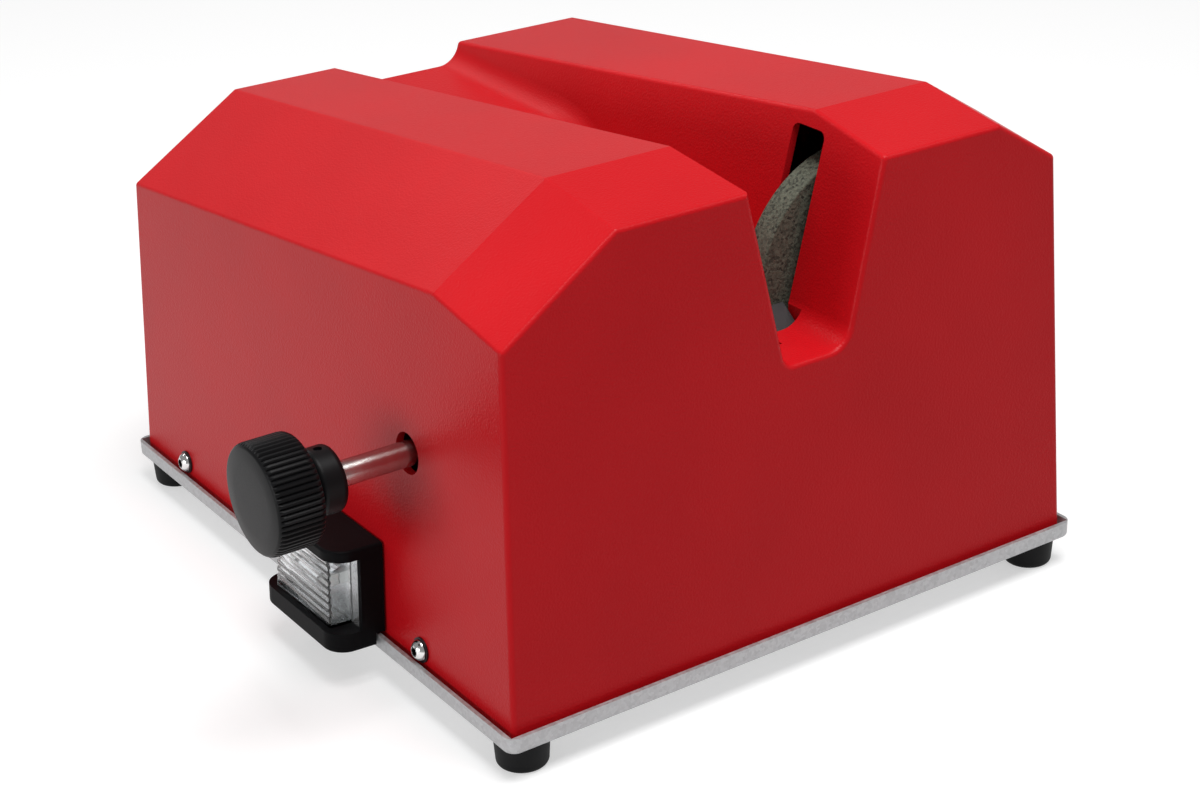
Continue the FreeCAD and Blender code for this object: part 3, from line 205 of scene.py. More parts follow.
class Signal:
    """A value that varies over a surface. Each sum on it adds one maths node."""

    def __init__(self, finish, socket):
        self.finish = finish
        self.socket = socket

    def maths(self, operation, first, second):
        node = self.finish.add("ShaderNodeMath", {"operation": operation}, {0: first, 1: second})
        return Signal(self.finish, node.outputs[0])

    def __add__(self, other):
        return self.maths("ADD", self, other)

    def __radd__(self, other):
        return self.maths("ADD", other, self)

    def __sub__(self, other):
        return self.maths("SUBTRACT", self, other)

    def __mul__(self, other):
        return self.maths("MULTIPLY", self, other)

    def least(self, other):
        return self.maths("MINIMUM", self, other)

    def most(self, other):
        return self.maths("MAXIMUM", self, other)


class Finish:
    """One procedural material, built on Object coordinates."""

    def __init__(self, name):
        self.material = bpy.data.materials.new(name)
        self.material.use_nodes = True
        self.tree = self.material.node_tree
        self.shader = self.tree.nodes["Principled BSDF"]
        self.place = self.add("ShaderNodeTexCoord").outputs["Object"]

    def add(self, kind, settings=None, values=None):
        """Add any node: its settings first, then the values or links of its sockets."""
        node = self.tree.nodes.new(kind)
        for key, value in (settings or {}).items():
            if key == "ramp":
                self.set_ramp(node, value)
            else:
                setattr(node, key, value)
        for key, value in (values or {}).items():
            self.feed(node.inputs[key], value)
        return node

    def set_ramp(self, node, stops):
        """Give a colour ramp its stops, each a position and a colour."""
        ramp = node.color_ramp
        while len(ramp.elements) < len(stops):
            ramp.elements.new(0.5)
        for element, (position, colour) in zip(ramp.elements, stops):
            element.position = position
            element.color = (*colour, 1.0)

    def feed(self, socket, value):
        """Link a signal or a socket to an input, or set a plain value on it."""
        if isinstance(value, Signal):
            self.tree.links.new(value.socket, socket)
        elif isinstance(value, bpy.types.NodeSocket):
            self.tree.links.new(value, socket)
        elif socket.type == "RGBA" and len(value) == 3:
            socket.default_value = (*value, 1.0)
        else:
            socket.default_value = value

    def set(self, **values):
        """Set or link the shader's own sockets."""
        for key, value in values.items():
            socket = key.replace("_", " ").title().replace("Ior", "IOR")
            self.feed(self.shader.inputs[socket], value)

    def stretched(self, scale):
        """The place on the surface, scaled by its own factor along each axis."""
        node = self.add("ShaderNodeMapping", {}, {"Vector": self.place, "Scale": scale})
        return node.outputs[0]

    def cloud(self, size, detail=2.0, rough=0.5, where=None):
        """Soft noise whose blotches are about the given size across."""
        node = self.add("ShaderNodeTexNoise", {}, {
            "Vector": where or self.place, "Scale": 1.0 / size,
            "Detail": detail, "Roughness": rough})
        return Signal(self, node.outputs["Fac"])

    def cells(self, size):
        """Grains or crystals about the given size across: their colour and distance."""
        return self.add("ShaderNodeTexVoronoi", {}, {"Vector": self.place, "Scale": 1.0 / size})

    def blend(self, amount, first, second):
        """A colour between two others."""
        node = self.add("ShaderNodeMix", {"data_type": "RGBA"},
                        {"Factor": amount, 6: first, 7: second})
        return node.outputs[2]

    def ramp(self, value, *stops):
        """A colour looked up along the given stops."""
        node = self.add("ShaderNodeValToRGB", {"ramp": stops}, {"Fac": value})
        return node.outputs["Color"]

    def bump(self, height, distance, strength):
        """Relief of the given height in metres."""
        node = self.add("ShaderNodeBump", {}, {
            "Height": height, "Distance": distance, "Strength": strength})
        self.feed(self.shader.inputs["Normal"], node.outputs["Normal"])


def paint_finish():
    """Satin red paint with a fine leathery texture."""
    colours = bpy.context.scene.sharpener_paint
    finish = Finish("satin red paint")
    grain = finish.cells(colours.casing_grain)
    dimple = Signal(finish, grain.outputs["Distance"])
    fine = finish.cloud(colours.casing_grain * 0.6, 2.0, 0.6)
    broad = finish.cloud(0.09, 2.0, 0.5)
    deep = [channel * 0.86 for channel in colours.casing]
    lively = [min(1.0, channel * 1.08 + 0.004) for channel in colours.casing]
    finish.set(base_color=finish.blend(broad, deep, lively))
    finish.set(roughness=0.33 + (fine - 0.5) * 0.10 + (broad - 0.5) * 0.05)
    finish.set(specular_ior_level=0.13)
    finish.bump(dimple * 0.7 + fine * 0.5, 0.00022, 0.6)
    return finish


def galvanised_finish():
    """Hot dipped zinc: crystals of a few millimetres in slightly different greys."""
    finish = Finish("galvanised sheet")
    crystals = finish.cells(0.0017)
    tone = finish.add("ShaderNodeSeparateColor", {}, {0: crystals.outputs["Color"]})
    shade = Signal(finish, tone.outputs[0])
    fine = finish.cloud(0.0009, 3.0, 0.6)
    finish.set(base_color=finish.ramp(shade * 0.6 + fine * 0.4,
                                      (0.15, (0.40, 0.40, 0.41)), (0.85, (0.54, 0.545, 0.555))))
    finish.set(metallic=0.6, roughness=0.36 + shade * 0.16)
    finish.bump(shade * 0.6 + fine * 0.4, 0.00006, 0.5)
    return finish


def rubber_finish():
    """Moulded black rubber, slightly worn."""
    colours = bpy.context.scene.sharpener_paint
    finish = Finish("black rubber")
    fine = finish.cloud(0.0007, 3.0, 0.6)
    broad = finish.cloud(0.012, 2.0, 0.5)
    paler = [channel * 1.6 + 0.002 for channel in colours.rubber]
    finish.set(base_color=finish.blend(broad * 0.5, tuple(colours.rubber), paler))
    finish.set(roughness=0.52 + fine * 0.14)
    finish.set(specular_ior_level=0.15)
    finish.bump(fine, 0.00008, 0.5)
    return finish


def plastic_finish(name, roughness, grain, depth, mirror):
    """Moulded black plastic with a light spark-eroded grain."""
    colours = bpy.context.scene.sharpener_paint
    finish = Finish(name)
    fine = finish.cloud(grain, 2.0, 0.55)
    broad = finish.cloud(0.02, 2.0, 0.5)
    paler = [channel * 1.5 + 0.003 for channel in colours.plastic]
    finish.set(base_color=finish.blend(broad * 0.6, tuple(colours.plastic), paler))
    finish.set(roughness=roughness + (fine - 0.5) * 0.12 + (broad - 0.5) * 0.06)
    finish.set(specular_ior_level=mirror)
    finish.bump(fine, depth, 0.5)
    return finish


def steel_finish(name, colour, roughness, along):
    """Ground or turned steel: fine scratches that run across the given axis."""
    finish = Finish(name)
    scale = [1.0, 1.0, 1.0]
    scale["xyz".index(along)] = 60.0
    lines = finish.cloud(0.02, 3.0, 0.7, finish.stretched(scale))
    broad = finish.cloud(0.015, 2.0, 0.5)
    dull = [channel * 0.45 for channel in colour]
    streak = (lines * 0.6 + broad * 0.8 - 0.2).least(1.0).most(0.0)
    finish.set(base_color=finish.blend(streak, dull, colour))
    finish.set(metallic=1.0, roughness=roughness + lines * 0.12 + (broad - 0.5) * 0.05)
    finish.bump(lines, 0.00003, 0.4)
    return finish


def plated_finish(name, colour, roughness):
    """Plated small parts, a little uneven."""
    finish = Finish(name)
    cloud = finish.cloud(0.004, 3.0, 0.6)
    dull = [channel * 0.8 for channel in colour]
    finish.set(base_color=finish.blend(cloud, dull, colour))
    finish.set(metallic=1.0, roughness=roughness + cloud * 0.12)
    finish.bump(cloud, 0.00002, 0.3)
    return finish


def screw_finish():
    """Bright plate with painted shade: the recess of the head is coloured near black and made
    rougher.
    """
    finish = Finish("bright plate")
    cloud = finish.cloud(0.004, 3.0, 0.6)
    # painted shade: the recess value blends the plate to near black inside the head's recess
    inside = Signal(finish, finish.add("ShaderNodeAttribute",
                                       {"attribute_name": "recess"}).outputs["Fac"])
    plate = finish.blend(cloud, (0.66, 0.66, 0.66), (0.82, 0.82, 0.82))
    finish.set(base_color=finish.blend(inside, plate, (0.015, 0.015, 0.016)))
    finish.set(metallic=1.0, roughness=0.12 + cloud * 0.12 + inside * 0.4)
    finish.bump(cloud, 0.00002, 0.3)
    return finish


def stone_finish():
    """Coarse bonded grit: pale and dark grains with open pores."""
    colours = bpy.context.scene.sharpener_paint
    finish = Finish("bonded grit")
    grains = finish.cells(0.0012)
    tone = finish.add("ShaderNodeSeparateColor", {}, {0: grains.outputs["Color"]})
    shade = Signal(finish, tone.outputs[0])
    pores = finish.cloud(0.0014, 4.0, 0.7)
    broad = finish.cloud(0.02, 2.0, 0.5)
    mix = (shade * 0.55 + pores * 0.75 - 0.15).least(1.0).most(0.0)
    finish.set(base_color=finish.ramp(mix * 0.9 + broad * 0.1, (0.18, tuple(colours.stone_dark)),
                                      (0.45, tuple(c * 0.6 for c in colours.stone_light)),
                                      (0.85, tuple(colours.stone_light))))
    finish.set(roughness=0.82 + shade * 0.12)
    finish.bump(shade * 0.5 + pores, 0.0006, 0.8)
    return finish


def enamel_finish(name, colour, roughness):
    """Dark stoving enamel on sheet or a motor can."""
    finish = Finish(name)
    peel = finish.cloud(0.002, 2.0, 0.5)
    broad = finish.cloud(0.03, 2.0, 0.5)
    paler = [channel * 1.4 + 0.004 for channel in colour]
    finish.set(base_color=finish.blend(broad, colour, paler))
    finish.set(roughness=roughness + (peel - 0.5) * 0.1)
    finish.bump(peel, 0.00004, 0.4)
    return finish


def cast_finish(name, colour, roughness):
    """Cast or milled aluminium."""
    finish = Finish(name)
    fine = finish.cloud(0.0012, 3.0, 0.6)
    broad = finish.cloud(0.02, 2.0, 0.5)
    dull = [channel * 0.75 for channel in colour]
    finish.set(base_color=finish.blend(broad * 0.6 + fine * 0.4, dull, colour))
    finish.set(metallic=1.0, roughness=roughness + fine * 0.15)
    finish.bump(fine, 0.00008, 0.5)
    return finish


def lens_finish():
    """Clear moulded plastic."""
    finish = Finish("clear lens")
    colour = tuple(bpy.context.scene.sharpener_lamp.glass)
    haze = finish.cloud(0.006, 2.0, 0.5)
    finish.set(base_color=colour)
    finish.set(roughness=0.04 + haze * 0.06)
    finish.set(transmission_weight=1.0, ior=1.49)
    return finish


def mirror_finish():
    """Bright metallised reflector, slightly rippled."""
    finish = Finish("bright reflector")
    ripple = finish.cloud(0.006, 2.0, 0.5)
    finish.set(base_color=finish.blend(ripple, (0.74, 0.75, 0.76), (0.92, 0.92, 0.92)))
    finish.set(metallic=0.9, roughness=0.16 + ripple * 0.12)
    finish.bump(ripple, 0.0002, 0.5)
    return finish


def pale_plastic_finish():
    """Pale moulded plastic of the electrical fittings."""
    finish = Finish("pale plastic")
    fine = finish.cloud(0.0012, 2.0, 0.5)
    finish.set(base_color=finish.blend(fine, (0.70, 0.69, 0.65), (0.80, 0.79, 0.75)))
    finish.set(roughness=0.45 + fine * 0.1)
    finish.bump(fine, 0.00005, 0.4)
    return finish


FINISHES = {
    "casing": paint_finish,
    "galvanised": galvanised_finish,
    "rubber": rubber_finish,
    "satin_plastic": lambda: plastic_finish("satin black plastic", 0.40, 0.0006, 0.00005, 0.12),
    "grained_plastic": lambda: plastic_finish("grained black plastic", 0.46, 0.0008, 0.00010, 0.04),
    "gloss_plastic": lambda: plastic_finish("gloss black plastic", 0.18, 0.0012, 0.00002, 0.3),
    "ground_x": lambda: steel_finish("ground shaft steel", (0.70, 0.69, 0.67), 0.16, "x"),
    "ground_y": lambda: steel_finish("ground arbor steel", (0.66, 0.66, 0.65), 0.22, "y"),
    "turned_x": lambda: steel_finish("turned steel rings", (0.58, 0.58, 0.57), 0.28, "x"),
    "turned_y": lambda: steel_finish("turned steel flanges", (0.58, 0.58, 0.57), 0.28, "y"),
    "zinc": lambda: plated_finish("zinc plate", (0.62, 0.62, 0.60), 0.30),
    "bright": screw_finish,
    # near black plate: the grub screw's own dark finish, and on the washers a painted shadow ring
    # under the screw heads
    "blackened_and_shadow": lambda: plated_finish("blackened steel", (0.06, 0.06, 0.065), 0.38),
    "brass": lambda: plated_finish("brass", (0.76, 0.56, 0.24), 0.28),
    "plate": lambda: cast_finish("milled plate", (0.66, 0.67, 0.68), 0.30),
    "cast": lambda: cast_finish("die cast metal", (0.56, 0.57, 0.58), 0.42),
    "stone": stone_finish,
    "motor": lambda: enamel_finish("grey motor enamel", (0.10, 0.11, 0.12), 0.38),
    "guard": lambda: enamel_finish("black sheet enamel", (0.010, 0.010, 0.011), 0.42),
    "lens": lens_finish,
    "mirror": mirror_finish,
    "pale_plastic": pale_plastic_finish,
}

NODE_FINISH = {
    "casing": ["casing"],
    "galvanised": ["base_tray"],
    "rubber": ["foot_left_front", "foot_right_front", "foot_left_back", "foot_right_back",
               "lamp_gasket"],
    "zinc": ["foot_screws", "foot_nuts", "angle_tabs", "left_motor_bolts", "right_motor_bolts",
             "left_arbor_nut", "right_arbor_nut", "lamp_clips", "lamp_bulb_caps"],
    "bright": ["casing_screws"],
    # painted shadow: the washers under the casing screw heads are coloured near black for the shadow
    # there; the grub screw is dark steel of its own
    "blackened_and_shadow": ["screw_washers", "knob_grub_screw"],
    "satin_plastic": ["knob_head", "knob_collar"],
    "grained_plastic": ["lamp_housing", "power_inlet", "power_switch"],
    "gloss_plastic": ["switch_rocker"],
    "ground_x": ["feed_shaft", "guide_rods"],
    "ground_y": ["left_arbor", "right_arbor"],
    "turned_x": ["thrust_collar_outer", "thrust_collar_inner"],
    "turned_y": ["left_flange_inner", "left_flange_outer", "right_flange_inner",
                 "right_flange_outer"],
    "brass": ["feed_bush", "feed_nut", "slide_bearings", "inlet_pins"],
    "plate": ["feed_bracket", "carriage", "right_motor_bracket", "rod_support_left",
              "rod_support_right"],
    "cast": ["left_motor_cap", "right_motor_cap", "capacitors"],
    "motor": ["left_motor", "right_motor"],
    "guard": ["left_guard", "right_guard", "left_guard_stay", "right_guard_stay"],
    "stone": ["left_wheel", "right_wheel"],
    "lens": ["lamp_lens", "lamp_bulb"],
    "mirror": ["lamp_reflector"],
    "pale_plastic": ["capacitor_saddles", "terminal_block"],
}

made_finishes = {}


def finish_for(name):
    """The material of a finish, made the first time that it is asked for."""
    if name not in made_finishes:
        made_finishes[name] = FINISHES[name]().material
    return made_finishes[name]


def dress(obj, name):
    """Give an object one finish in place of its materials."""
    obj.data.materials.clear()
    obj.data.materials.append(finish_for(name))


# Modelling helpers

def clear_selection():
    """Leave edit mode and deselect all."""
    if bpy.context.object and bpy.context.object.mode != "OBJECT":
        bpy.ops.object.mode_set(mode="OBJECT")
    bpy.ops.object.select_all(action="DESELECT")


def start_piece(name):
    """Name the object that was just made."""
    piece = bpy.context.object
    piece.name = name
    piece.data.name = name
    return piece


def pick(piece, test, kind="VERT"):
    """In edit mode, select only what the test accepts, by its middle."""
    bpy.ops.mesh.select_mode(type=kind)
    bpy.ops.mesh.select_all(action="DESELECT")
    mesh = bmesh.from_edit_mesh(piece.data)
    items = {"VERT": mesh.verts, "EDGE": mesh.edges, "FACE": mesh.faces}[kind]
    for item in items:
        if kind == "VERT":
            middle = item.co
        elif kind == "EDGE":
            middle = (item.verts[0].co + item.verts[1].co) / 2
        else:
            middle = item.calc_center_median()
        if test(middle):
            item.select_set(True)
    mesh.select_flush_mode()
    bmesh.update_edit_mesh(piece.data)


def settle(piece, matrix=None):
    """Put the place into the mesh, so that the object sits at the origin."""
    clear_selection()
    if matrix is not None:
        piece.matrix_world = matrix @ piece.matrix_world
    piece.select_set(True)
    bpy.context.view_layer.objects.active = piece
    bpy.ops.object.transform_apply(location=True, rotation=True, scale=True)
    clear_selection()


def turned(name, profile, sides):
    """A turned piece about z: a disc that is extruded and scaled from ring to ring."""
    clear_selection()
    radius, height = profile[0]
    bpy.ops.mesh.primitive_circle_add(vertices=sides, radius=radius, fill_type="NOTHING",
                                      location=(0.0, 0.0, height))
    piece = start_piece(name)
    bpy.ops.object.transform_apply(location=True, rotation=False, scale=False)
    bpy.ops.object.mode_set(mode="EDIT")
    bpy.ops.mesh.select_all(action="SELECT")
    for next_radius, next_height in profile[1:]:
        bpy.ops.mesh.extrude_region_move(
            TRANSFORM_OT_translate={"value": (0.0, 0.0, next_height - height)})
        factor = next_radius / radius
        bpy.ops.transform.resize(value=(factor, factor, 1.0),
                                 center_override=(0.0, 0.0, next_height))
        radius, height = next_radius, next_height
    return piece


def close_ends(piece, heights):
    """Fill the open rings at the given heights."""
    for height in heights:
        pick(piece, lambda p, h=height: abs(p.z - h) < TOUCH, "EDGE")
        bpy.ops.mesh.edge_face_add()
    bpy.ops.mesh.select_all(action="SELECT")
    bpy.ops.mesh.normals_make_consistent(inside=False)
    bpy.ops.object.mode_set(mode="OBJECT")


def smooth(piece, degrees):
    """Smooth shading over edges that bend less than the given angle."""
    clear_selection()
    piece.select_set(True)
    bpy.context.view_layer.objects.active = piece
    bpy.ops.object.shade_smooth_by_angle(angle=math.radians(degrees))
    clear_selection()


def corners_of(node):
    """The low and the high corner of a node's box."""
    return (Vector(corner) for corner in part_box(node))


class SHARPENER_OT_finishes(bpy.types.Operator):
    """Give every node of the frame its own finish"""
    bl_idname = "sharpener.finishes"
    bl_label = "Finish the frame"

    def execute(self, context):
        for finish, nodes in NODE_FINISH.items():
            for node in nodes:
                dress(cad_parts[node], finish)
        return {"FINISHED"}


class SHARPENER_OT_knob(bpy.types.Operator):
    """Model the ribbed knob head with its low domed face"""
    bl_idname = "sharpener.knob"
    bl_label = "Knob head"

    def execute(self, context):
        sizes = context.scene.sharpener_knob
        low, high = corners_of("knob_head")
        radius = (high.z - low.z) / 2
        neck = sizes.neck_radius
        length = sizes.grip_length
        dome = sizes.dome
        full = high.x - low.x
        sides = sizes.ridges * RIDGE_LINES
        # from the face (height 0) back to the neck: face, bevel, ridged band, back bevel, neck
        profile = [(radius * 0.30, 0.0), (radius * 0.62, dome * 0.3)]
        for inside, along in KNOB_FACE_RINGS:
            profile.append((radius - inside * MM, dome + along * MM))
        for inside, along in KNOB_BACK_RINGS:
            profile.append((radius - inside * MM, length + along * MM))
        profile.append((neck + KNOB_FILLET, length))
        profile.append((neck, length + KNOB_FILLET))
        profile.append((neck, full))
        piece = turned("knob_head_ribbed", profile, sides)
        # grooves: one line of each ridge drawn in, and its neighbours half way
        band_low, band_high = dome + RIDGE_END, length - RIDGE_END
        for offset, share in GROOVE_SHARES:
            def in_groove(p, offset=offset):
                if not band_low < p.z < band_high:
                    return False
                turn = math.atan2(p.y, p.x) / (2 * math.pi) * sides
                return round(turn) % RIDGE_LINES == offset
            pick(piece, in_groove)
            factor = 1.0 - sizes.groove * share / radius
            bpy.ops.transform.resize(value=(factor, factor, 1.0),
                                     center_override=(0.0, 0.0, 0.0))
        close_ends(piece, (0.0, full))
        settle(piece, Matrix.Translation((low.x, (low.y + high.y) / 2, (low.z + high.z) / 2))
               @ Matrix.Rotation(math.radians(90), 4, "Y"))
        smooth(piece, 38.0)
        dress(piece, "satin_plastic")
        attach(piece, "knob_set")
        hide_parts("knob_head")
        return {"FINISHED"}


class SHARPENER_OT_lens(bpy.types.Operator):
    """Model the lamp's clear lens with its level waves"""
    bl_idname = "sharpener.lens"
    bl_label = "Lamp lens"

    def execute(self, context):
        sizes = context.scene.sharpener_lamp
        low, high = corners_of("lamp_lens")
        middle, extent = (low + high) / 2, high - low
        lean = sizes.lean
        # the lens leans with the wall, so its box is a little larger than the lens
        along, across = math.cos(lean), math.sin(lean)
        square = along ** 2 - across ** 2
        depth = (extent.x * along - extent.z * across) / square
        height = (extent.z * along - extent.x * across) / square
        width = extent.y
        clear_selection()
        bpy.ops.mesh.primitive_cube_add(size=1.0, location=(0.0, 0.0, 0.0))
        piece = start_piece("lamp_lens_ribbed")
        piece.scale = (depth, width, height)
        bpy.ops.object.transform_apply(location=False, rotation=False, scale=True)
        bpy.ops.object.mode_set(mode="EDIT")
        # the back is open
        pick(piece, lambda p: p.x > depth / 2 - TOUCH, "FACE")
        bpy.ops.mesh.delete(type="FACE")
        # round the two upright front corners
        pick(piece, lambda p: p.x < -depth / 2 + TOUCH and abs(p.z) < TOUCH
             and abs(abs(p.y) - width / 2) < TOUCH, "EDGE")
        bpy.ops.mesh.bevel(offset=sizes.corner, segments=3, affect="EDGES")
        # level cuts for the waves, with a plain border above and below
        pick(piece, lambda p: abs(p.z) < TOUCH, "EDGE")
        cuts = sizes.ribs * WAVE_LINES - 1
        bpy.ops.mesh.subdivide(number_cuts=cuts)
        step = height / (cuts + 1)
        band = height - 2 * sizes.border
        for number in range(1, cuts + 1):
            level = -height / 2 + step * number
            along_band = (level + band / 2) / band
            if not 0.0 < along_band < 1.0:
                continue
            wave = 0.5 - 0.5 * math.cos(2 * math.pi * sizes.ribs * along_band)
            pick(piece, lambda p, z=level: abs(p.z - z) < step * 0.2
                 and p.x < -depth / 2 + sizes.corner + 0.1 * MM)
            bpy.ops.transform.translate(value=(sizes.rib_depth * wave, 0.0, 0.0))
        bpy.ops.object.mode_set(mode="OBJECT")
        wall = piece.modifiers.new("wall", "SOLIDIFY")
        wall.thickness = sizes.wall
        wall.offset = -1.0
        bpy.context.view_layer.objects.active = piece
        piece.select_set(True)
        bpy.ops.object.modifier_apply(modifier=wall.name)
        settle(piece, Matrix.Translation(middle) @ Matrix.Rotation(lean, 4, "Y"))
        smooth(piece, 30.0)
        dress(piece, "lens")
        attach(piece, "frame")
        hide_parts("lamp_lens")
        return {"FINISHED"}


class SHARPENER_OT_screws(bpy.types.Operator):
    """Model the domed heads of the casing screws with a six-lobed recess"""
    bl_idname = "sharpener.screws"
    bl_label = "Casing screws"

    def execute(self, context):
        sizes = context.scene.sharpener_screw
        lean = context.scene.sharpener_lamp.lean
        low, high = corners_of("casing_screws")
        head, tall, deep = sizes.head_radius, sizes.head_height, sizes.recess_depth
        shank = sizes.shank_radius
        mouth = head * MOUTH_SHARE
        profile = [(shank, -sizes.shank_length), (shank, 0.0)]
        for inside, height in SCREW_DOME_RINGS:
            profile.append((head - inside * MM, height * MM))
        for inside, down in SCREW_MOUTH_RINGS:
            profile.append((mouth - inside * MM, tall - down * MM))
        profile.append((mouth - 0.4 * MM, tall - deep))
        first = turned("casing_screw_0", profile, SCREW_SIDES)

        def in_recess(p):
            return (math.hypot(p.x, p.y) < mouth - 0.1 * MM
                    and p.z > tall - deep - 0.1 * MM)

        def in_lobe_gap(p):
            line = round(math.atan2(p.y, p.x) / (2 * math.pi) * SCREW_SIDES)
            return in_recess(p) and line % (SCREW_SIDES // LOBES) == 0

        # the lines between the lobes are drawn in
        pick(first, in_lobe_gap)
        bpy.ops.transform.resize(value=(LOBE_SHARE, LOBE_SHARE, 1.0),
                                 center_override=(0.0, 0.0, 0.0))
        close_ends(first, (-sizes.shank_length, tall - deep))
        # the finish paints shade where this value is 1: the head's recess is coloured near black
        painted_recess_shade = first.data.attributes.new("recess", "FLOAT", "POINT")
        for vertex in first.data.vertices:
            painted_recess_shade.data[vertex.index].value = 1.0 if in_recess(vertex.co) else 0.0
        smooth(first, 35.0)
        # one screw is modelled, and the other three are copies with their own mesh
        pieces = [first]
        for number in range(1, 4):
            copy = first.copy()
            copy.data = first.data.copy()
            copy.name = "casing_screw_%d" % number
            bpy.context.collection.objects.link(copy)
            pieces.append(copy)
        level = (low.z + high.z) / 2
        places = (low.y + head, high.y - head)
        for number, piece in enumerate(pieces):
            way = -1.0 if number < 2 else 1.0
            edge = low.x if number < 2 else high.x
            seat = Vector((edge - way * tall * math.cos(lean), places[number % 2], level))
            turn = Matrix.Rotation(way * (math.radians(90) - lean), 4, "Y")
            settle(piece, Matrix.Translation(seat) @ turn)
        clear_selection()
        for piece in pieces:
            piece.select_set(True)
        bpy.context.view_layer.objects.active = pieces[0]
        bpy.ops.object.join()
        piece = start_piece("casing_screw_heads")
        dress(piece, "bright")
        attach(piece, "frame")
        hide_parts("casing_screws")
        return {"FINISHED"}


def area_light(name, place, target, width, height, power):
    """A soft rectangular light that faces its target."""
    data = bpy.data.lights.new(name, "AREA")
    data.shape = "RECTANGLE"
    data.size = width
    data.size_y = height
    data.energy = power
    lamp = bpy.data.objects.new(name, data)
    bpy.context.collection.objects.link(lamp)
    lamp.location = place
    direction = Vector(target) - Vector(place)
    lamp.rotation_euler = direction.to_track_quat("-Z", "Y").to_euler()


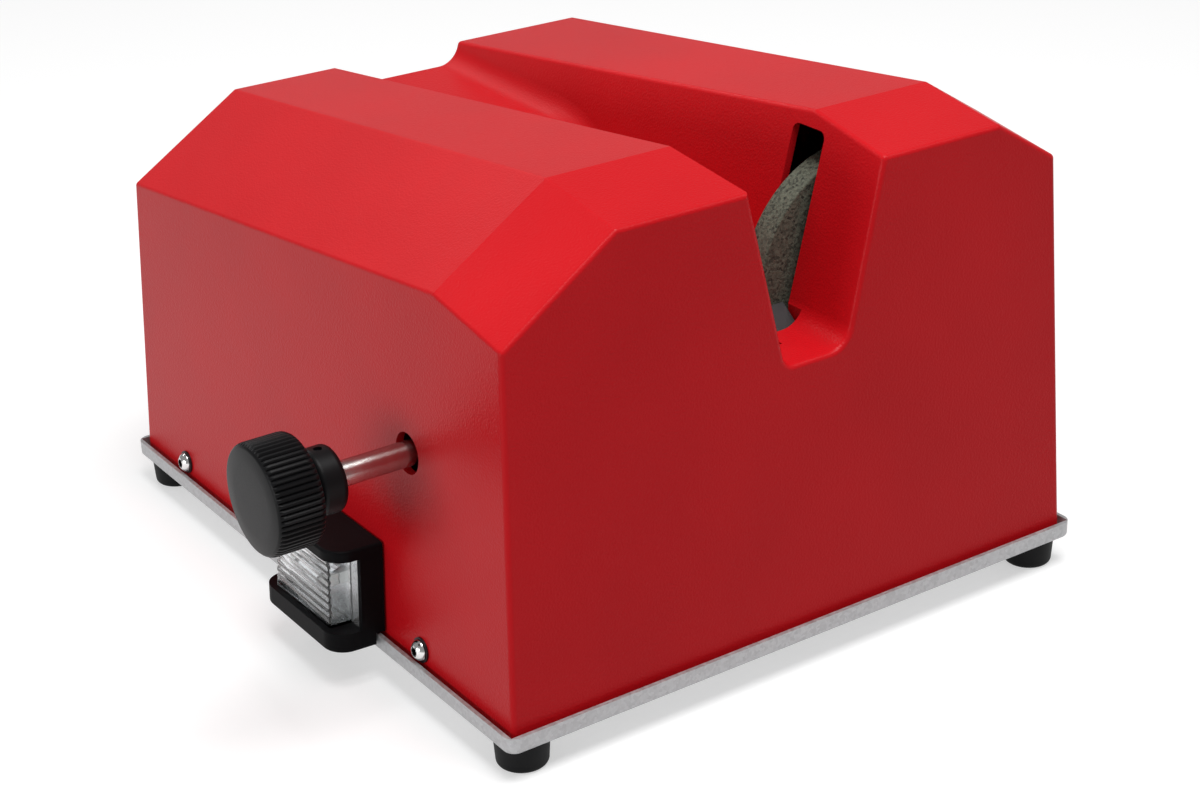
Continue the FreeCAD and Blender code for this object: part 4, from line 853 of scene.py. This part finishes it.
class SHARPENER_OT_stage(bpy.types.Operator):
    """Set up the floor, the lights, the world and the camera"""
    bl_idname = "sharpener.stage"
    bl_label = "Stage"

    def execute(self, context):
        sizes = context.scene.sharpener_stage
        clear_selection()
        bpy.ops.mesh.primitive_plane_add(size=FLOOR_SIZE, location=(0.0, 0.0, 0.0))
        floor = start_piece("floor")
        finish = Finish("pale floor")
        cloud = finish.cloud(0.6, 2.0, 0.5)
        colour = tuple(sizes.floor)
        finish.set(base_color=finish.blend(cloud, tuple(c * 0.985 for c in colour), colour))
        finish.set(roughness=0.75, specular_ior_level=0.1)
        finish.set(emission_color=(1.0, 1.0, 1.0), emission_strength=sizes.floor_glow)
        # what the object sees of the floor is darker than what the camera sees
        ray = finish.add("ShaderNodeLightPath").outputs
        seen = Signal(finish, ray["Is Camera Ray"]).most(Signal(finish, ray["Is Glossy Ray"]))
        seen = seen.most(Signal(finish, ray["Is Transmission Ray"]))
        dim = finish.add("ShaderNodeBsdfDiffuse", {}, {"Color": (0.30, 0.30, 0.30)})
        mixed = finish.add("ShaderNodeMixShader", {}, {
            "Fac": seen, 1: dim.outputs[0], 2: finish.shader.outputs[0]})
        surface = finish.tree.nodes["Material Output"].inputs["Surface"]
        finish.tree.links.new(mixed.outputs[0], surface)
        floor.data.materials.append(finish.material)

        world = bpy.data.worlds.new("studio")
        context.scene.world = world
        world.use_nodes = True
        nodes = world.node_tree.nodes
        links = world.node_tree.links
        nodes.clear()
        ray = nodes.new("ShaderNodeLightPath")
        soft = nodes.new("ShaderNodeBackground")
        soft.inputs["Color"].default_value = (1.0, 1.0, 1.0, 1.0)
        soft.inputs["Strength"].default_value = sizes.surround
        white = nodes.new("ShaderNodeBackground")
        white.inputs["Color"].default_value = (1.0, 1.0, 1.0, 1.0)
        white.inputs["Strength"].default_value = 1.0
        either = nodes.new("ShaderNodeMath")
        either.operation = "MAXIMUM"
        mix = nodes.new("ShaderNodeMixShader")
        out = nodes.new("ShaderNodeOutputWorld")
        links.new(ray.outputs["Is Camera Ray"], either.inputs[0])
        links.new(ray.outputs["Is Transmission Ray"], either.inputs[1])
        links.new(either.outputs[0], mix.inputs["Fac"])
        links.new(soft.outputs[0], mix.inputs[1])
        links.new(white.outputs[0], mix.inputs[2])
        links.new(mix.outputs[0], out.inputs["Surface"])

        for name, power, place, target, width, height in LIGHTS:
            area_light(name, place, target, width, height, getattr(sizes, power))

        data = bpy.data.cameras.new("camera")
        data.sensor_width = SENSOR_WIDTH
        data.lens = sizes.focal
        camera = bpy.data.objects.new("camera", data)
        context.collection.objects.link(camera)
        place = Vector(sizes.camera_place)
        back = (place - Vector(sizes.camera_target)).normalized()
        right = Vector((0.0, 0.0, 1.0)).cross(back).normalized()
        up = back.cross(right)
        turn = sizes.camera_roll
        across = right * math.cos(turn) + up * math.sin(turn)
        above = up * math.cos(turn) - right * math.sin(turn)
        camera.matrix_world = Matrix((
            (across.x, above.x, back.x, place.x),
            (across.y, above.y, back.y, place.y),
            (across.z, above.z, back.z, place.z),
            (0.0, 0.0, 0.0, 1.0)))
        context.scene.camera = camera
        context.scene.view_settings.view_transform = "Standard"
        return {"FINISHED"}


class SHARPENER_PT_panel(bpy.types.Panel):
    """Lists the sizes and the steps"""
    bl_idname = "SHARPENER_PT_panel"
    bl_label = "Knife sharpener"
    bl_space_type = "VIEW_3D"
    bl_region_type = "UI"
    bl_category = "Sharpener"

    def draw(self, context):
        layout = self.layout
        for group in SETTINGS:
            settings = getattr(context.scene, group)
            box = layout.box()
            for key in settings.__annotations__:
                box.prop(settings, key)
        for operator in OPERATORS:
            layout.operator(operator.bl_idname)


SETTINGS = {
    "sharpener_paint": PaintSettings,
    "sharpener_knob": KnobSettings,
    "sharpener_lamp": LampSettings,
    "sharpener_screw": ScrewSettings,
    "sharpener_stage": StageSettings,
}
OPERATORS = (
    SHARPENER_OT_stage,
    SHARPENER_OT_finishes,
    SHARPENER_OT_knob,
    SHARPENER_OT_lens,
    SHARPENER_OT_screws,
)


def register():
    for name, group in SETTINGS.items():
        bpy.utils.register_class(group)
        setattr(bpy.types.Scene, name, bpy.props.PointerProperty(type=group))
    for operator in OPERATORS:
        bpy.utils.register_class(operator)
    bpy.utils.register_class(SHARPENER_PT_panel)


def unregister():
    bpy.utils.unregister_class(SHARPENER_PT_panel)
    for operator in reversed(OPERATORS):
        bpy.utils.unregister_class(operator)
    for name, group in SETTINGS.items():
        delattr(bpy.types.Scene, name)
        bpy.utils.unregister_class(group)


def main():
    register()
    bpy.ops.sharpener.stage()
    bpy.ops.sharpener.finishes()
    bpy.ops.sharpener.knob()
    bpy.ops.sharpener.lens()
    bpy.ops.sharpener.screws()


if __name__ == "__main__":
    main()
